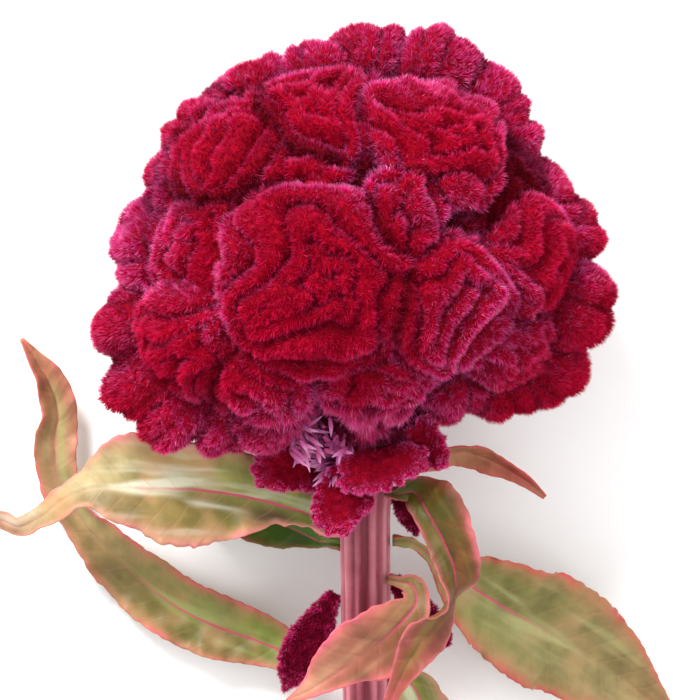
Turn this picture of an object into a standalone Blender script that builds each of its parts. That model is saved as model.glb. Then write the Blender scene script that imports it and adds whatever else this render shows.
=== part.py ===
"""Cockscomb celosia: one picked stem with its crest, lying on a flat surface.

The crest rests on a flat spot at the origin and faces up, +Y runs from the cut
end of the stem to the top of the crest, and +X is to the right of the flower.
Sizes below are in millimetres and are turned into metres when a mesh is made.
"""
import math

import bmesh
import bpy
import numpy as np

METRES = 0.001
SEAT_GAP = 0.35
SEAT_REACH = 3.0

# Crest: centre, core under the lobes, and the folds on them
CREST_CENTRE = np.array((0.0, 0.0, 46.0))
CORE_HALF_SIZES = np.array((51.0, 42.0, 37.0))
CORE_LEAST_COVER = 2.0
SWIRL_FULLNESS = 0.4
PLEAT_FULLNESS = 0.5
LOBE_OVERLAP = 1.2
FOLD_SPACING = 7.5
FOLD_DEPTH = 4.8
FOLD_ROUNDNESS = 0.65
FOLD_WARP = 3.0
FOLD_WARP_SIZE = 30.0
SWIRL_ARMS = 1
SWIRL_RUFFLES = 5
SWIRL_WAVINESS = 1.7
SWIRL_CALM_RADIUS = 8.0
PLEAT_COUNT = 36
LOBE_EDGE_WARP = 1.6
WAVES_PER_FIELD = 36
FIELD_SEED = 11
CREST_POINTS = 4700
FLAT_SPOT_RADIUS = 21.0
FLAT_SPOT_FADE = 9.0
FLOOR_CONE = 0.92
FLOOR_POINT_STEP = 7
SETTLE_STEP = 0.55
SETTLE_ROUNDS = 3

# Lobes as modelled: outermost point from the crest's centre, half width, style
SWIRL, PLEATS = 0, 1
FRONT_LOBES = (
    (24.0, 26.0, 32.0, 17.0, SWIRL),
    (-8.0, 33.0, 27.0, 14.5, SWIRL),
    (-33.0, 24.0, 22.0, 17.0, SWIRL),
    (-11.0, 15.5, 36.0, 8.0, SWIRL),
    (13.0, 5.0, 43.0, 11.0, SWIRL),
    (-41.0, -3.0, 25.0, 15.5, SWIRL),
    (-45.0, -31.0, 20.0, 17.5, SWIRL),
    (-9.0, -14.0, 46.0, 24.0, SWIRL),
    (25.0, -20.0, 38.0, 17.0, SWIRL),
    (50.0, -10.0, 19.0, 17.0, SWIRL),
    (40.0, 11.0, 21.0, 12.0, SWIRL),
    (-26.0, -42.0, 22.0, 13.0, SWIRL),
    (6.0, -41.0, 25.0, 13.0, SWIRL),
    (45.0, -32.0, 14.0, 14.0, SWIRL),
)
RIM_LOBES = (
    (7.0, 53.5, -2.0, 13.5, PLEATS),
    (28.0, 51.5, 2.0, 15.0, PLEATS),
    (39.0, 42.0, 0.0, 12.0, PLEATS),
    (44.5, 31.0, -2.0, 13.0, PLEATS),
    (-11.0, 49.0, -2.0, 12.0, PLEATS),
    (-28.0, 43.5, -2.0, 13.0, PLEATS),
    (-41.0, 34.0, -2.0, 14.5, PLEATS),
    (-50.0, 18.0, -4.0, 11.0, PLEATS),
    (-58.5, -3.0, -2.0, 15.0, PLEATS),
    (-63.0, -27.0, -2.0, 14.5, PLEATS),
    (-61.0, -41.5, -1.0, 12.5, PLEATS),
    (-50.5, -51.5, -1.0, 13.5, PLEATS),
    (-34.0, -54.0, -1.0, 14.0, PLEATS),
    (-22.0, -52.5, 8.0, 11.5, PLEATS),
    (56.5, 11.5, 0.0, 12.0, PLEATS),
    (63.5, 2.0, -3.0, 13.5, PLEATS),
    (65.0, -20.0, -3.0, 16.0, PLEATS),
    (57.0, -38.0, -4.0, 13.5, PLEATS),
    (45.0, -42.5, -2.0, 12.0, PLEATS),
    (31.0, -43.0, 0.0, 13.0, PLEATS),
)
BACK_LOBE_COUNT = 22
BACK_LOBE_TOP = -0.22
BACK_HALF_SIZES = np.array((61.0, 52.0, 51.0))
BACK_LOBE_WIDTH = 15.5

# Stem: from its seat under the crest down to the cut end on the surface
STEM_TOP = np.array((3.5, -46.5, 42.0))
STEM_END = np.array((5.0, -168.0, 5.4))
STEM_RADIUS = 6.0
STEM_END_RADIUS = 5.7
NECK_HALF_WIDTH = 11.5
NECK_HALF_DEPTH = 8.0
NECK_LENGTH = 26.0
STEM_RIBS = 10
STEM_RIB_HEIGHT = 0.45
STEM_RINGS = 15
STEM_SIDES = 30
NECK_CLEAR_RADIUS = 13.5
NECK_CLEAR_FADE = 7.0

# Blades: thickness of leaves and of the velvety side crests
LEAF_THICKNESS = 0.8
PETIOLE_THICKNESS = 2.0
PETIOLE_END = 0.12
SIDE_CREST_THICKNESS = 2.0
SIDE_CREST_SEAT = 1.65
STEEP_SEAT = 0.2
FLOOR_CLEARANCE = 0.45

GREEN = (0.33, 0.42, 0.16)
DARK_GREEN = (0.13, 0.25, 0.07)
TAN_GREEN = (0.45, 0.42, 0.22)
ROSE_GREEN = (0.46, 0.33, 0.22)
RUSSET = (0.42, 0.16, 0.07)
CRIMSON = (0.42, 0.005, 0.055)
MAROON = (0.22, 0.005, 0.03)
MAUVE = (0.42, 0.16, 0.19)
PALE_PINK = (0.62, 0.30, 0.42)


def clear_scene():
    for item in list(bpy.data.objects):
        bpy.data.objects.remove(item, do_unlink=True)


def make_material(name, colour, roughness):
    material = bpy.data.materials.new(name)
    material.use_nodes = True
    shader = material.node_tree.nodes["Principled BSDF"]
    shader.inputs["Base Color"].default_value = (*colour, 1.0)
    shader.inputs["Roughness"].default_value = roughness
    shader.inputs["Metallic"].default_value = 0.0
    material.diffuse_color = (*colour, 1.0)
    return material


def add_object(name, points, faces, colour, roughness):
    mesh = bpy.data.meshes.new(name)
    mesh.from_pydata((np.asarray(points) * METRES).tolist(), [], faces)
    mesh.validate()
    mesh.shade_smooth()
    mesh.set_sharp_from_angle(angle=math.radians(50))
    mesh.materials.append(make_material(name + "_material", colour, roughness))
    item = bpy.data.objects.new(name, mesh)
    bpy.context.scene.collection.objects.link(item)
    return item


def unit(vectors):
    vectors = np.asarray(vectors, float)
    return vectors / np.linalg.norm(vectors, axis=-1, keepdims=True)


# Crest


def wave_field(points, wavelength, seed):
    """Winding bands of high and low ground, about -2 to 2."""
    rng = np.random.default_rng(seed)
    directions = unit(rng.normal(size=(WAVES_PER_FIELD, 3)))
    phases = rng.uniform(0, 2 * math.pi, WAVES_PER_FIELD)
    angles = points @ directions.T * (2 * math.pi / wavelength) + phases
    return np.cos(angles).sum(axis=1) * math.sqrt(2 / WAVES_PER_FIELD)


def spiral_directions(count):
    """Unit vectors spread evenly over a sphere along a golden spiral."""
    steps = np.arange(count) + 0.5
    heights = 1 - 2 * steps / count
    turns = steps * math.pi * (3 - math.sqrt(5))
    widths = np.sqrt(1 - heights ** 2)
    return np.stack((widths * np.cos(turns), widths * np.sin(turns), heights), axis=1)


def ellipsoid_radius(directions, half_sizes):
    return 1 / np.linalg.norm(directions / half_sizes, axis=1)


def back_lobes():
    """Lobes of the crest's hidden side, spread evenly."""
    directions = spiral_directions(BACK_LOBE_COUNT * 2)
    directions = directions[directions[:, 2] < BACK_LOBE_TOP]
    reach = ellipsoid_radius(directions, BACK_HALF_SIZES)
    styles = np.full(len(directions), SWIRL)
    widths = np.full(len(directions), BACK_LOBE_WIDTH)
    return np.column_stack((directions * reach[:, None], widths, styles))


def lobe_table():
    """Rows of every lobe, with the front ones widened until they press together."""
    front = np.array(FRONT_LOBES)
    front[:, 3] *= LOBE_OVERLAP
    return np.vstack((front, np.array(RIM_LOBES), back_lobes()))


def tangents(directions):
    """Two unit vectors across each direction."""
    helper = np.where(np.abs(directions[:, 2:3]) < 0.9, (0.0, 0.0, 1.0), (0.0, 1.0, 0.0))
    across = unit(np.cross(helper, directions))
    return across, np.cross(directions, across)


def fold_ridge(place, lobes, owner):
    """0 in a groove and 1 on the round back of a fold, for points on the lobes."""
    centres = lobes[owner, :3]
    across, along = tangents(unit(centres))
    offset = place - centres
    side = np.sum(offset * across, axis=1)
    rise = np.sum(offset * along, axis=1)
    reach = np.hypot(side, rise)
    angle = np.arctan2(rise, side)
    waviness = SWIRL_WAVINESS * np.minimum(1.0, reach / SWIRL_CALM_RADIUS)
    swirl = 2 * math.pi * reach / FOLD_SPACING + SWIRL_ARMS * angle
    swirl = swirl + waviness * np.sin(SWIRL_RUFFLES * angle + owner + reach / FOLD_SPACING)
    pleat = PLEAT_COUNT * np.arctan2(place[:, 1], place[:, 0])
    phase = np.where(lobes[owner, 4] == PLEATS, pleat, swirl)
    return np.abs(np.cos(0.5 * phase)) ** FOLD_ROUNDNESS


def crest_surface(directions):
    """Distance from the crest's centre to its surface, and the fold height there."""
    lobes = lobe_table()
    axes = unit(lobes[:, :3])
    reach = np.linalg.norm(lobes[:, :3], axis=1)
    nominal = ellipsoid_radius(directions, BACK_HALF_SIZES)[:, None] * directions
    warp = np.stack([wave_field(nominal, FOLD_WARP_SIZE, FIELD_SEED + 2 + k) for k in range(3)], 1)
    bent = unit(nominal + LOBE_EDGE_WARP * warp)
    chord = np.sqrt(np.maximum(0.0, 2 - 2 * bent @ axes.T)) * reach
    fullness = np.where(lobes[:, 4] == PLEATS, PLEAT_FULLNESS, SWIRL_FULLNESS)
    dome = np.maximum(0.0, 1 - (chord / lobes[:, 3]) ** 2) ** fullness
    core = ellipsoid_radius(directions, CORE_HALF_SIZES)
    lobe_core = ellipsoid_radius(axes, CORE_HALF_SIZES)
    height = dome * (reach - lobe_core)
    owner = np.argmax(height, axis=1)
    best = height[np.arange(len(directions)), owner]
    place = unit(nominal) * reach[owner][:, None] + FOLD_WARP * warp
    ridge = fold_ridge(place, lobes, owner)
    radius = core + best - FOLD_DEPTH * (1 - ridge)
    radius = np.maximum(radius, core - CORE_LEAST_COVER)
    return trim_crest(directions, radius), ridge


def stem_axis():
    return unit(STEM_END - STEM_TOP)


def soft_step(distance, radius, fade):
    """1 within a radius, falling smoothly to 0 over the fade beyond it."""
    part = np.clip((radius + fade - distance) / fade, 0, 1)
    return part * part * (3 - 2 * part)


def trim_crest(directions, radius):
    """Flat spot on the surface below, and a seat for the stem."""
    down = np.maximum(0.1, -directions[:, 2])
    floor = CREST_CENTRE[2] / down
    aside = np.hypot(directions[:, 0], directions[:, 1]) * floor
    over_spot = soft_step(aside, FLAT_SPOT_RADIUS, FLAT_SPOT_FADE) * (directions[:, 2] < 0)
    radius = np.minimum(radius + (floor - radius) * over_spot, floor)
    axis = stem_axis()
    toward = np.maximum(0.1, directions @ axis)
    seat = ((STEM_TOP - CREST_CENTRE) @ axis - SEAT_GAP) / toward
    place = CREST_CENTRE + directions * seat[:, None] - STEM_TOP
    aside = np.linalg.norm(place - np.outer(place @ axis, axis), axis=1)
    under_neck = soft_step(aside, NECK_CLEAR_RADIUS, NECK_CLEAR_FADE) * (directions @ axis > 0.5)
    return radius + (seat - radius) * under_neck


def settled_directions():
    """Even directions, moved a little onto fold backs and groove floors."""
    directions = spiral_directions(CREST_POINTS)
    over_floor = -directions[:, 2] > FLOOR_CONE
    keep = ~over_floor | (np.arange(CREST_POINTS) % FLOOR_POINT_STEP == 0)
    directions = directions[keep]
    step = SETTLE_STEP / np.mean(BACK_HALF_SIZES)
    for _ in range(SETTLE_ROUNDS):
        across, along = tangents(directions)
        _, ridge = crest_surface(directions)
        _, ridge_across = crest_surface(unit(directions + step * across))
        _, ridge_along = crest_surface(unit(directions + step * along))
        slope = (ridge_across - ridge)[:, None] * across + (ridge_along - ridge)[:, None] * along
        size = np.linalg.norm(slope, axis=1, keepdims=True)
        towards = np.where(ridge > 0.55, 1.0, -1.0)[:, None]
        directions = unit(directions + towards * step * slope / np.maximum(size, 0.02))
    return directions


def build_crest():
    directions = settled_directions()
    form = bmesh.new()
    for direction in directions:
        form.verts.new(direction)
    bmesh.ops.convex_hull(form, input=form.verts)
    form.verts.index_update()
    hull = np.array([vert.co[:] for vert in form.verts])
    faces = [[vert.index for vert in face.verts] for face in form.faces]
    form.free()
    faces = [face_outward(face, hull) for face in faces]
    directions = unit(hull)
    radius, _ = crest_surface(directions)
    points = CREST_CENTRE + directions * radius[:, None]
    points[:, 2] = np.maximum(points[:, 2], 0.0)
    return add_object("crest", points, faces, CRIMSON, 0.85)


def face_outward(face, points):
    first, second, third = (points[index] for index in face[:3])
    outward = np.dot(np.cross(second - first, third - first), first) > 0
    return face if outward else face[::-1]


# Stem


def stem_frame():
    """Directions across the stem, to the right and up."""
    axis = stem_axis()
    right = unit(np.cross(axis, (0.0, 0.0, 1.0)))
    if right[0] < 0:
        right = -right
    upward = np.cross(right, axis)
    if upward[2] < 0:
        upward = -upward
    return axis, right, upward


def stem_half_sizes(down):
    """Half width and half depth of the stem at a distance down from its top."""
    length = np.linalg.norm(STEM_END - STEM_TOP)
    plain = STEM_RADIUS + (STEM_END_RADIUS - STEM_RADIUS) * down / length
    flare = max(0.0, 1 - down / NECK_LENGTH) ** 2
    return plain + (NECK_HALF_WIDTH - plain) * flare, plain + (NECK_HALF_DEPTH - plain) * flare


def stem_point(down, angle, outward):
    """A point beside the stem; the angle turns from the right towards the top."""
    axis, right, upward = stem_frame()
    half_width, half_depth = stem_half_sizes(down)
    rib = STEM_RIB_HEIGHT * math.cos(STEM_RIBS * angle)
    across = (half_width + rib + outward) * math.cos(angle) * right
    above = (half_depth + rib + outward) * math.sin(angle) * upward
    return STEM_TOP + down * axis + across + above


def build_stem():
    length = np.linalg.norm(STEM_END - STEM_TOP)
    places = length * np.linspace(0, 1, STEM_RINGS) ** 1.15
    angles = np.linspace(0, 2 * math.pi, STEM_SIDES, endpoint=False)
    points = [stem_point(down, angle, 0.0) for down in places for angle in angles]
    points = np.array(points)
    points[:, 2] = np.maximum(points[:, 2], 0.0)
    faces = []
    for ring in range(STEM_RINGS - 1):
        for side in range(STEM_SIDES):
            here = ring * STEM_SIDES + side
            beside = ring * STEM_SIDES + (side + 1) % STEM_SIDES
            faces.append([here, beside, beside + STEM_SIDES])
            faces.append([here, beside + STEM_SIDES, here + STEM_SIDES])
    top = list(range(STEM_SIDES))
    bottom = [(STEM_RINGS - 1) * STEM_SIDES + side for side in top]
    faces.append(top[::-1])
    faces.append(bottom)
    item = add_object("stem", points, faces, MAUVE, 0.5)
    face_out(item)
    return item


def face_out(item):
    """Makes the faces of a closed mesh point outwards."""
    form = bmesh.new()
    form.from_mesh(item.data)
    bmesh.ops.recalc_face_normals(form, faces=form.faces)
    if form.calc_volume(signed=True) < 0:
        bmesh.ops.reverse_faces(form, faces=form.faces)
    form.to_mesh(item.data)
    form.free()


# Blades: leaves and side crests


def smooth_rows(rows, count):
    """Rows of numbers read at even steps from a smooth curve through them."""
    rows = np.asarray(rows, float)
    spans = np.linalg.norm(np.diff(rows[:, :3], axis=0), axis=1)
    marks = np.concatenate(((0.0,), np.cumsum(spans)))
    slopes = np.gradient(rows, marks, axis=0)
    reads = np.linspace(0, marks[-1], count)
    place = np.clip(np.searchsorted(marks, reads, side="right") - 1, 0, len(rows) - 2)
    span = (marks[place + 1] - marks[place])[:, None]
    part = (reads - marks[place])[:, None] / span
    first, last = rows[place], rows[place + 1]
    curve = (1 + 2 * part) * (1 - part) ** 2 * first + part ** 2 * (3 - 2 * part) * last
    bend = part * (1 - part) ** 2 * slopes[place] - part ** 2 * (1 - part) * slopes[place + 1]
    return curve + bend * span, reads


def blade_surface(rows, count, across, fold, wave, wave_length, phase):
    """Mid surface of a blade as a grid of points, rows along by columns across."""
    table, reads = smooth_rows(rows, count)
    spine = table[:, :3]
    half_left = np.maximum(table[:, 3], 0.35)
    half_right = np.maximum(table[:, 4], 0.35)
    bank = np.radians(table[:, 5])
    forward = unit(np.gradient(spine, axis=0))
    left = unit(np.cross((0.0, 0.0, 1.0), forward))
    above = np.cross(forward, left)
    side = left * np.cos(bank)[:, None] + above * np.sin(bank)[:, None]
    normal = above * np.cos(bank)[:, None] - left * np.sin(bank)[:, None]
    columns = np.linspace(1, -1, across + 1)
    grid = np.zeros((count, across + 1, 3))
    for index, column in enumerate(columns):
        half = half_left if column > 0 else half_right
        turn = phase if column > 0 else phase + 2.1
        swell = np.sin(reads * 2 * math.pi / wave_length + turn)
        swell = swell + 0.5 * np.sin(reads * 2 * math.pi / (0.57 * wave_length) + 2 * turn)
        ruffle = wave * np.minimum(1.0, half / 7.0) * column ** 2 * swell
        lift = math.tan(math.radians(fold)) * half * abs(column) ** 1.3
        grid[:, index] = spine + side * (half * column)[:, None]
        grid[:, index] += normal * (lift + ruffle)[:, None]
    return grid, reads / reads[-1]


def surface_normals(grid):
    along = np.gradient(grid, axis=0)
    aside = np.gradient(grid, axis=1)
    return unit(np.cross(aside, along))


def blade_solid(grid, half_thickness):
    """Closed solid round a grid, split into the same triangles on both faces."""
    count, columns = grid.shape[:2]
    normals = surface_normals(grid)
    upper = grid + normals * half_thickness[:, None, None]
    lower = grid - normals * half_thickness[:, None, None]
    points = np.concatenate((upper.reshape(-1, 3), lower.reshape(-1, 3)))
    other = count * columns
    faces = []
    for row in range(count - 1):
        for column in range(columns - 1):
            here = row * columns + column
            corner = here + columns + 1
            for face in ((here, here + 1, corner), (here, corner, here + columns)):
                faces.append(list(face))
                faces.append([index + other for index in reversed(face)])
    rim = list(range(columns))
    rim += [row * columns + columns - 1 for row in range(1, count)]
    rim += [(count - 1) * columns + column for column in range(columns - 2, -1, -1)]
    rim += [row * columns for row in range(count - 2, 0, -1)]
    for index, start in enumerate(rim):
        end = rim[(index + 1) % len(rim)]
        faces.append([start, start + other, end + other])
        faces.append([start, end + other, end])
    return points, faces


def build_blade(name, rows, colour, count=22, across=6, fold=12.0, wave=1.6,
                wave_length=17.0, phase=0.0, thickness=LEAF_THICKNESS, stalk=PETIOLE_THICKNESS,
                roughness=0.55):
    grid, along = blade_surface(rows, count, across, fold, wave, wave_length, phase)
    grid[:, :, 2] = np.maximum(grid[:, :, 2], FLOOR_CLEARANCE)
    thick = thickness + (stalk - thickness) * np.clip(1 - along / PETIOLE_END, 0, 1)
    points, faces = blade_solid(grid, thick / 2)
    points[:, 2] = np.maximum(points[:, 2], 0.0)
    item = add_object(name, points, faces, colour, roughness)
    face_out(item)
    return item


def on_stem(down, turn, clear):
    return stem_point(down, math.radians(turn), clear + STEM_RIB_HEIGHT)


def from_stem(down, turn, half, bank=0.0):
    """First two rows of a leaf: at its seat on the stem and a little further out."""
    seat = on_stem(down, turn, SEAT_GAP)
    beyond = on_stem(down, turn, SEAT_GAP + SEAT_REACH)
    return [(*seat, half, half, bank), (*beyond, half, half, bank)]


def along_stem(down, turn, half, seat=SIDE_CREST_SEAT):
    """First row of a side crest, whose underside leaves the stem at a low angle."""
    return [(*on_stem(down, turn, seat), half, half, 0.0)]


# Rows after the seat: midrib x, y, z, half width left and right, bank in degrees
LEAF_LEFT_UPPER = (
    (-15.7, -67.5, 36, 5.0, 5.5, 0),
    (-25.9, -65.0, 35, 10.0, 10.7, -6),
    (-37.5, -63.2, 34, 14.8, 13.3, -14),
    (-49.2, -62.9, 31, 13.3, 14.9, -10),
    (-59.7, -62.8, 28, 9.3, 12.9, 0),
    (-67.2, -63.4, 26, 5.2, 7.2, 18),
    (-74.4, -66.4, 24, 4.7, 3.6, 35),
    (-80.6, -71.2, 22, 3.4, 3.1, 30),
    (-86.5, -73.5, 20, 2.6, 2.6, -20),
    (-92.8, -71.0, 18, 3.1, 3.1, -40),
    (-98.0, -69.0, 17, 2.2, 2.2, -20),
    (-103.5, -68.1, 16, 0.5, 0.5, 0),
)
LEAF_LEFT_LOWER = (
    (-9.0, -112.2, 15, 1.4, 1.4, 0),
    (-16.9, -108.0, 10, 4.6, 6.0, 0),
    (-25.7, -104.5, 7.5, 6.8, 8.0, 0),
    (-35.1, -101.4, 6.5, 8.4, 8.6, 5),
    (-45.2, -96.7, 5.5, 9.0, 8.2, 8),
    (-56.0, -88.8, 5, 8.6, 8.0, 0),
    (-65.0, -80.3, 5, 6.9, 6.6, -10),
    (-72.5, -71.5, 6, 5.3, 5.0, -20),
    (-77.3, -62.2, 7, 5.3, 5.3, -10),
    (-78.4, -52.8, 8, 5.6, 5.6, 10),
    (-77.5, -43.5, 9, 5.0, 5.1, 25),
    (-80.0, -35.4, 11, 4.0, 4.2, 30),
    (-83.4, -29.4, 13, 2.2, 2.2, 25),
    (-86.2, -24.6, 15, 0.5, 0.5, 20),
)
LEAF_RIGHT_BROAD = (
    (20.0, -79.8, 29, 1.6, 1.6, 0),
    (29.2, -87.0, 27, 8.0, 8.0, 0),
    (38.4, -93.3, 23, 12.8, 12.8, 6),
    (50.4, -100.6, 17, 16.2, 15.2, 8),
    (62.7, -108.3, 11.5, 14.2, 13.2, 4),
    (73.3, -115.6, 7.5, 9.0, 8.0, 0),
    (82.2, -122.7, 5, 4.0, 4.0, 0),
    (90.3, -129.5, 4, 0.5, 0.5, 0),
)
LEAF_RIGHT_NARROW = (
    (16.8, -57.6, 31, 1.6, 1.6, 30),
    (21.5, -55.0, 28, 3.6, 3.6, 45),
    (27.5, -53.6, 26, 4.6, 4.6, 50),
    (33.2, -54.6, 24, 4.4, 4.4, 45),
    (39.8, -57.8, 22, 3.2, 3.2, 35),
    (45.9, -61.6, 20, 1.7, 1.7, 20),
    (51.0, -66.0, 18, 0.5, 0.5, 0),
)
LEAF_TWISTED = (
    (15.6, -63.0, 47.5, 4.0, 3.0, 10),
    (19.2, -67.7, 52, 10.5, 3.8, 18),
    (22.6, -73.7, 54, 9.5, 4.2, 22),
    (25.2, -79.8, 55, 7.2, 4.4, 8),
    (25.9, -85.3, 55, 4.8, 4.2, -35),
    (24.4, -89.9, 54, 3.6, 3.8, -75),
    (21.4, -94.3, 52, 4.6, 4.6, -40),
    (17.9, -99.5, 50, 5.6, 5.4, -12),
    (14.5, -105.2, 49, 3.9, 3.7, 0),
    (11.4, -111.7, 47.5, 2.2, 2.0, 10),
    (8.4, -119.2, 45, 1.2, 1.2, 20),
    (6.0, -125.0, 42, 0.5, 0.5, 20),
)
LEAF_FRONT_LOW = (
    (15.6, -87.2, 37.5, 3.0, 3.0, 0),
    (16.8, -91.0, 39.5, 3.5, 3.4, 0),
    (13.6, -95.6, 40.5, 6.2, 6.6, -6),
    (8.2, -100.5, 40.0, 9.6, 9.6, -12),
    (1.5, -105.8, 39.0, 6.6, 9.6, -10),
    (-5.0, -110.5, 38, 3.4, 7.0, 0),
    (-11.1, -114.3, 37, 1.8, 2.6, 15),
    (-16.2, -117.0, 36, 0.5, 0.5, 20),
)
LEAF_DARK_SMALL = (
    (-9.0, -77.0, 20, 2.4, 2.4, 0),
    (-14.9, -74.6, 15, 5.6, 5.4, 0),
    (-25.6, -71.1, 10.5, 7.0, 6.6, 4),
    (-36.3, -67.3, 8.5, 5.4, 5.2, 0),
    (-46.8, -63.8, 7, 0.5, 0.5, 0),
)
LEAF_LOW_RIGHT = (
    (15.0, -113.5, 24, 3.4, 3.4, 0),
    (19.0, -120.0, 22, 6.0, 5.8, -8),
    (24.0, -129.0, 17, 5.6, 5.2, -10),
    (30.0, -139.0, 11, 3.4, 3.2, 0),
    (34.5, -147.0, 7, 0.5, 0.5, 0),
)
LEAF_UNDER_LEFT = (
    (-9.0, -139.0, 10, 3.4, 3.4, 0),
    (-20.0, -143.0, 6.5, 7.2, 7.2, 0),
    (-34.0, -146.0, 5, 9.0, 8.6, 0),
    (-48.0, -146.5, 4.5, 7.0, 6.8, 0),
    (-60.0, -144.5, 4, 3.4, 3.4, 0),
    (-69.0, -141.0, 4, 0.5, 0.5, 0),
)


def build_leaves():
    build_blade("leaf_left_upper", from_stem(27, 165, 1.6) + list(LEAF_LEFT_UPPER),
                GREEN, count=27, fold=8, wave=1.8, wave_length=21, phase=0.4)
    build_blade("leaf_left_lower", from_stem(66, 195, 1.4) + list(LEAF_LEFT_LOWER),
                TAN_GREEN, count=29, fold=14, wave=1.3, wave_length=19, phase=1.3)
    build_blade("leaf_right_broad", from_stem(31, 5, 1.3) + list(LEAF_RIGHT_BROAD),
                GREEN, count=23, fold=8, wave=1.6, wave_length=20, phase=2.2)
    build_blade("leaf_right_narrow", from_stem(13, -20, 1.2, 20) + list(LEAF_RIGHT_NARROW),
                RUSSET, count=13, across=4, fold=20, wave=0.8, wave_length=16, phase=0.2)
    build_blade("leaf_twisted", from_stem(16, 42, 1.3) + list(LEAF_TWISTED),
                ROSE_GREEN, count=25, fold=14, wave=1.1, wave_length=15, phase=0.9)
    build_blade("leaf_front_low", from_stem(40, 35, 1.3) + list(LEAF_FRONT_LOW),
                TAN_GREEN, count=18, fold=8, wave=1.3, wave_length=15, phase=1.8)
    build_blade("leaf_dark_small", from_stem(33, 205, 1.3) + list(LEAF_DARK_SMALL),
                DARK_GREEN, count=13, across=4, fold=16, wave=1.0, wave_length=15, phase=0.7)
    build_blade("leaf_low_right", from_stem(69, 10, 1.3) + list(LEAF_LOW_RIGHT),
                TAN_GREEN, count=13, across=4, fold=14, wave=1.2, wave_length=15, phase=2.6)
    build_blade("leaf_under_left", from_stem(96, 190, 1.4) + list(LEAF_UNDER_LEFT),
                GREEN, count=16, across=4, fold=12, wave=1.2, wave_length=19, phase=1.1)


SIDE_CREST_RIGHT = (
    (17.2, -52.6, 49, 4.2, 4.2, 0),
    (19.6, -51.2, 52.5, 6.6, 5.6, 0),
    (22.8, -49.8, 54.5, 6.8, 5.8, 0),
)
SIDE_CREST_FRONT = (
    (6.2, -57.0, 54, 5.5, 4.5, 0),
    (7.0, -60.2, 56, 8.6, 7.4, 0),
    (8.6, -63.4, 56.5, 8.0, 5.6, 0),
)
SIDE_CREST_TONGUE = (
    (1.2, -65.0, 50, 4.8, 4.8, 0),
    (-1.6, -69.0, 51, 6.2, 6.2, 0),
    (-4.0, -73.4, 50.5, 3.6, 3.6, 0),
)
SIDE_CREST_LEFT = (
    (-12.5, -57.2, 44.5, 4.4, 4.0, 0),
    (-18.5, -58.6, 45, 4.8, 4.6, 0),
    (-24.0, -59.4, 44, 3.2, 3.2, 0),
)
SIDE_CREST_BEHIND = (
    (14.6, -66.5, 33, 3.2, 3.2, 0),
    (16.0, -70.5, 31, 3.0, 3.0, 0),
    (16.6, -74.0, 29.5, 1.2, 1.2, 0),
)
SIDE_CREST_LOW_LEFT = (
    (-7.6, -97.0, 25, 3.6, 3.6, 0),
    (-10.6, -102.5, 24, 5.0, 5.0, 0),
    (-14.0, -109.0, 22.5, 4.4, 4.4, 0),
    (-16.6, -115.5, 21, 1.6, 1.6, 0),
)
SIDE_CREST_LOW_RIGHT = (
    (16.6, -93.0, 25, 3.0, 3.0, 0),
    (21.0, -98.0, 23, 3.0, 3.0, 0),
    (25.8, -103.5, 21, 1.0, 1.0, 0),
)


def build_side_crests():
    common = {"across": 6, "thickness": SIDE_CREST_THICKNESS, "stalk": SIDE_CREST_THICKNESS,
              "fold": 10, "wave": 1.5, "wave_length": 8.0, "roughness": 0.85}
    build_blade("side_crest_right", along_stem(5, 20, 1.3) + list(SIDE_CREST_RIGHT),
                CRIMSON, count=10, phase=0.3, **common)
    build_blade("side_crest_front", along_stem(4.5, 76, 1.8, STEEP_SEAT) + list(SIDE_CREST_FRONT),
                CRIMSON, count=9, phase=1.1, **{**common, "wave": 1.0})
    build_blade("side_crest_tongue", along_stem(12.5, 92, 2.0) + list(SIDE_CREST_TONGUE),
                CRIMSON, count=11, phase=2.0, **common)
    build_blade("side_crest_left", along_stem(11, 165, 1.5) + list(SIDE_CREST_LEFT),
                CRIMSON, count=10, phase=2.8, **common)
    build_blade("side_crest_behind", along_stem(19, -30, 1.8) + list(SIDE_CREST_BEHIND),
                MAROON, count=7, phase=0.8, **common)
    build_blade("side_crest_low_left", along_stem(46, 185, 1.4) + list(SIDE_CREST_LOW_LEFT),
                MAROON, count=11, phase=1.6, **common)
    build_blade("side_crest_low_right", along_stem(43, -15, 1.5) + list(SIDE_CREST_LOW_RIGHT),
                MAROON, count=8, phase=2.4, **common)


# Floret cluster: straps fused to a small core

FLORET_CORE_RADIUS = 2.6
FLORET_COUNT = 15
FLORET_LENGTH = 7.6
FLORET_HALF_WIDTH = 1.0
FLORET_SEED = 5
FLORET_DOWN = 7.0
FLORET_TURN = 124
FLORET_SPREAD = 0.15
FLORET_HIGHEST = 0.35


def add_strap(form, root, direction, length):
    """A slim four-sided strap that tapers to its tip."""
    across, along = tangents(direction[None, :])
    across, along = across[0] * FLORET_HALF_WIDTH, along[0] * FLORET_HALF_WIDTH * 0.5
    middle = root + direction * length * 0.55
    rings = []
    for centre, scale in ((root, 0.7), (middle, 1.0)):
        corners = (across, along, -across, -along)
        rings.append([form.verts.new((centre + scale * corner) * METRES) for corner in corners])
    tip = form.verts.new((root + direction * length) * METRES)
    form.faces.new(rings[0][::-1])
    for side in range(4):
        after = (side + 1) % 4
        form.faces.new((rings[0][side], rings[0][after], rings[1][after], rings[1][side]))
        form.faces.new((rings[1][side], rings[1][after], tip))


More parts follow.
